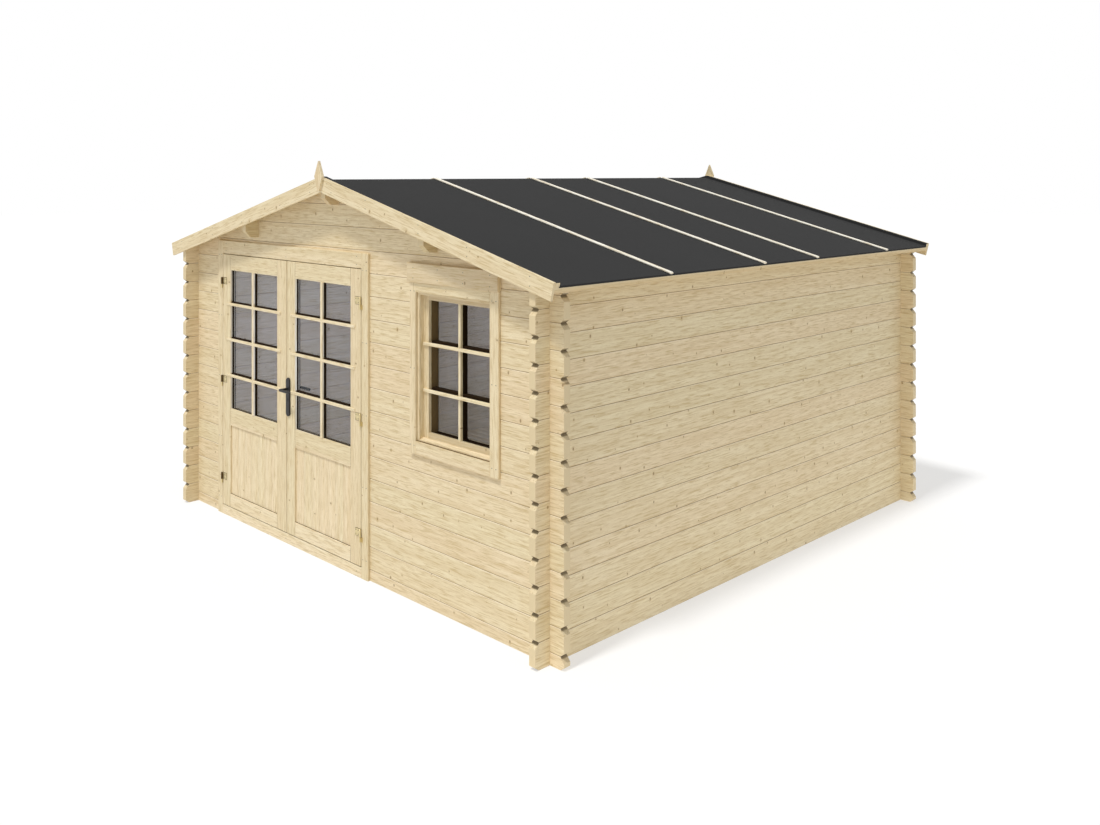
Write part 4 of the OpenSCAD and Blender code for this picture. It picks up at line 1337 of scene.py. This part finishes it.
nails = []
for side, on_slope in ((-1, ON_LEFT), (1, ON_RIGHT)):
    up = Vector((side * math.sin(PITCH), 0, math.cos(PITCH)))
    for y in batten_ys:
        for step in range(NAILS_PER_BATTEN):
            along = NAIL_INSET + step * (batten_end - 2 * NAIL_INSET) / (NAILS_PER_BATTEN - 1)
            nails.append((on_slope @ Vector((along, y, FELT_TOP + BATTEN_THICK)), up))
drive("batten_nails", "house", "zinc_steel", nails, BATTEN_NAIL, bright_zinc)

for side, way in (("left", 1), ("right", -1)):
    glass_low, glass_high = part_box(f"{side}_door_glass")
    leaf_low, leaf_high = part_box(f"{side}_door_leaf")
    left_x = glass_low.x + GLASS_GROOVE - BAR_OVER + BAR_NAIL_INSET
    right_x = glass_high.x - GLASS_GROOVE + BAR_OVER - BAR_NAIL_INSET
    pins = []
    for z in BAR_HEIGHTS:
        for x in (left_x, (left_x + right_x) / 2, right_x):
            pins.append(((x, leaf_low.y - BAR_PROUD, z), FRONT))
    drive(f"{side}_glazing_bar_nails", f"{side}_door", "zinc_steel", pins, BAR_NAIL, slot_shadow)
    hinge_low, hinge_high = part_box(f"{side}_door_hinges")
    inner_x = hinge_high.x if side == "left" else hinge_low.x
    screws = []
    for z in HINGE_HEIGHTS:
        for aside, up in HINGE_SCREW_PLACES:
            screws.append(((inner_x - way * aside, leaf_low.y - HINGE_PLATE_THICK, z + up), FRONT))
    drive(f"{side}_hinge_screws", f"{side}_door", "zinc_steel", screws, HINGE_SCREW, dark_hinge_screw)

screws = []
for z in (plates_low.z + HANDLE_SCREW_INSET, plates_high.z - HANDLE_SCREW_INSET):
    screws.append(((handle_x, plates_low.y, z), FRONT))
    screws.append(((handle_x, plates_high.y, z), BACK))
drive("handle_plate_screws", "right_door", "black_metal", screws, HANDLE_SCREW, black_lacquer)


# ---- Floor ----
# Tongue and groove spruce boards nailed from side to side over sawn joists, which lie from
# front to back. Short strips fill in on both sides of the door frame.
FLOOR_PACE = 0.096
FLOOR_ARRIS = 0.001
# The gap between the boards and the door frame
FRAME_GAP = 0.002

floor_spruce = spruce("floor_spruce", "XYZ", width=0.3, start=0.05)
floor_low, floor_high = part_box("floor_boards")
frame_back = frame_high.y + FRAME_GAP
count = round((floor_high.y - frame_back) / FLOOR_PACE)
pace = (floor_high.y - frame_back) / count
boards = grow("floor_board_row", board_row, {
    "Count": count, "Pace": pace, "Length": floor_high.x - floor_low.x,
    "Thickness": floor_high.z - floor_low.z, "Arris": FLOOR_ARRIS, "Finish": floor_spruce,
})
first = Vector((floor_low.x, frame_back + pace / 2, (floor_low.z + floor_high.z) / 2))
place_mesh(boards, Matrix.Translation(first))
fit_in(boards, "house", "planed_pine", "floor_boards")

worked = bmesh.new()
timber(worked, floor_low, (frame_low.x - FRAME_GAP, frame_back, floor_high.z), FLOOR_ARRIS)
timber(
    worked, (frame_high.x + FRAME_GAP, floor_low.y, floor_low.z),
    (floor_high.x, frame_back, floor_high.z), FLOOR_ARRIS
)
fillers = finished_piece(worked, "floor_filler_strips", floor_spruce)
fit_in(fillers, "house", "planed_pine")
finish(spruce("joist_spruce", "YXZ", width=0.5, start=0.2), "floor_joists")


# ---- Studio ----
# A plain floor that shows white, an even white sky and one soft high lamp from the front. The
# camera looks level from off the front right corner, from above a person's height.
SKY = 0.53
SUN = 0.66
SUN_HEIGHT = math.radians(65)
SUN_WIDTH = math.radians(7)
# Soft lamps in the room, so that the panes look into a grey room and not a black one: each
# one's power, place and turn in degrees
ROOM_LAMPS = (
    ("front_room_lamp", 39.0, (0.2, -1.45, 1.3), 60), ("back_room_lamp", 5.0, (-0.7, 1.2, 1.2), 90)
)
ROOM_LAMP_WIDTH = 0.4
# Bluish, so that the yellow walls behind the panes come out grey
ROOM_LAMP_COLOUR = (0.43, 0.556, 1.0)
# Sockets of a Mix node that mixes numbers
NUMBER_A, NUMBER_B = 2, 3
FLOOR_SIZE = 60
FLOOR_GREY = (0.45, 0.45, 0.45, 1)
# The floor's own light, and how much brighter it is where the camera sees it
FLOOR_GLOW = 0.42
SEEN_LIFT = 0.1
# The floor beside the right wall throws more light, and the floor further off throws less:
# where that patch starts in X and in Y, and where it turns from near to far
PATCH_START_X = (1.6, 1.9)
PATCH_START_Y = (-2.9, -1.9)
PATCH_TURN_X = (3.4, 5.6)
SIDE_NEAR = 0.3
SIDE_FAR = -0.32


def seen_directly(tree):
    """1 for rays from the camera, also by way of metal or glass."""
    path = add(tree, "ShaderNodeLightPath")
    seen = path.outputs["Is Camera Ray"]
    for way in ("Is Glossy Ray", "Is Transmission Ray"):
        seen = add(tree, "ShaderNodeMath", {0: seen, 1: path.outputs[way]}, operation="MAXIMUM")
    return seen


sheet = empty_material("studio_floor")
tree = sheet.node_tree
matt = add(tree, "ShaderNodeBsdfDiffuse", {"Color": FLOOR_GREY})
place = add(tree, "ShaderNodeTexCoord")
spot = add(tree, "ShaderNodeSeparateXYZ", {0: place.outputs["Object"]})
out, reached, beside = (
    add(
        tree, "ShaderNodeMapRange",
        {"Value": spot.outputs[axis], "From Min": start, "From Max": end, "To Min": low, "To Max": high}
    )
    for axis, (start, end), low, high in (
        ("X", PATCH_TURN_X, SIDE_NEAR, SIDE_FAR), ("X", PATCH_START_X, 0, 1), ("Y", PATCH_START_Y, 0, 1)
    )
)
patch = add(tree, "ShaderNodeMath", {0: beside, 1: reached}, operation="MULTIPLY")
thrown = add(tree, "ShaderNodeMath", {0: out, 1: patch, 2: FLOOR_GLOW}, operation="MULTIPLY_ADD")
lift = add(
    tree, "ShaderNodeMix",
    {0: seen_directly(tree), NUMBER_A: thrown, NUMBER_B: FLOOR_GLOW + SEEN_LIFT}, data_type="FLOAT"
)
glow = add(tree, "ShaderNodeEmission", {"Strength": lift})
both = add(tree, "ShaderNodeAddShader", {0: matt, 1: glow})
add(tree, "ShaderNodeOutputMaterial", {"Surface": both})
worked = bmesh.new()
bmesh.ops.create_grid(worked, x_segments=1, y_segments=1, size=FLOOR_SIZE)
floor = finished_piece(worked, "studio_floor", sheet)

world = bpy.data.worlds.new("studio_sky")
bpy.context.scene.world = world
world.use_nodes = True
tree = world.node_tree
tree.nodes.clear()
strength = add(
    tree, "ShaderNodeMath", {0: seen_directly(tree), 1: 1 - SKY, 2: SKY}, operation="MULTIPLY_ADD"
)
sky = add(tree, "ShaderNodeBackground", {"Color": (1, 1, 1, 1), "Strength": strength})
add(tree, "ShaderNodeOutputWorld", {"Surface": sky})

lamp = bpy.data.lights.new("studio_sun", "SUN")
lamp.energy = SUN * math.pi
lamp.angle = SUN_WIDTH
sun = bpy.data.objects.new("studio_sun", lamp)
sun.rotation_euler = (math.pi / 2 - SUN_HEIGHT, 0, 0)
bpy.context.scene.collection.objects.link(sun)

# The lamps' backs are to the doors, so that they light the walls and not the joinery
for name, power, place, turn in ROOM_LAMPS:
    bulb = bpy.data.lights.new(name, "AREA")
    bulb.energy = power
    bulb.shape = "DISK"
    bulb.size = ROOM_LAMP_WIDTH
    bulb.color = ROOM_LAMP_COLOUR
    room_lamp = bpy.data.objects.new(name, bulb)
    room_lamp.location = place
    room_lamp.rotation_euler = (math.pi / 2, 0, math.radians(turn))
    room_lamp.visible_camera = False
    room_lamp.visible_glossy = False
    bpy.context.scene.collection.objects.link(room_lamp)

lens = bpy.data.cameras.new("studio_camera")
lens.lens = 34.12
lens.sensor_width = 36
lens.shift_x = -0.0016
lens.shift_y = -0.2173
camera = bpy.data.objects.new("studio_camera", lens)
camera.location = (5.6004, -5.5986, 2.4697)
camera.rotation_euler = (math.pi / 2, 0, math.radians(44.9))
bpy.context.scene.collection.objects.link(camera)
bpy.context.scene.camera = camera
bpy.context.scene.view_settings.view_transform = "Standard"
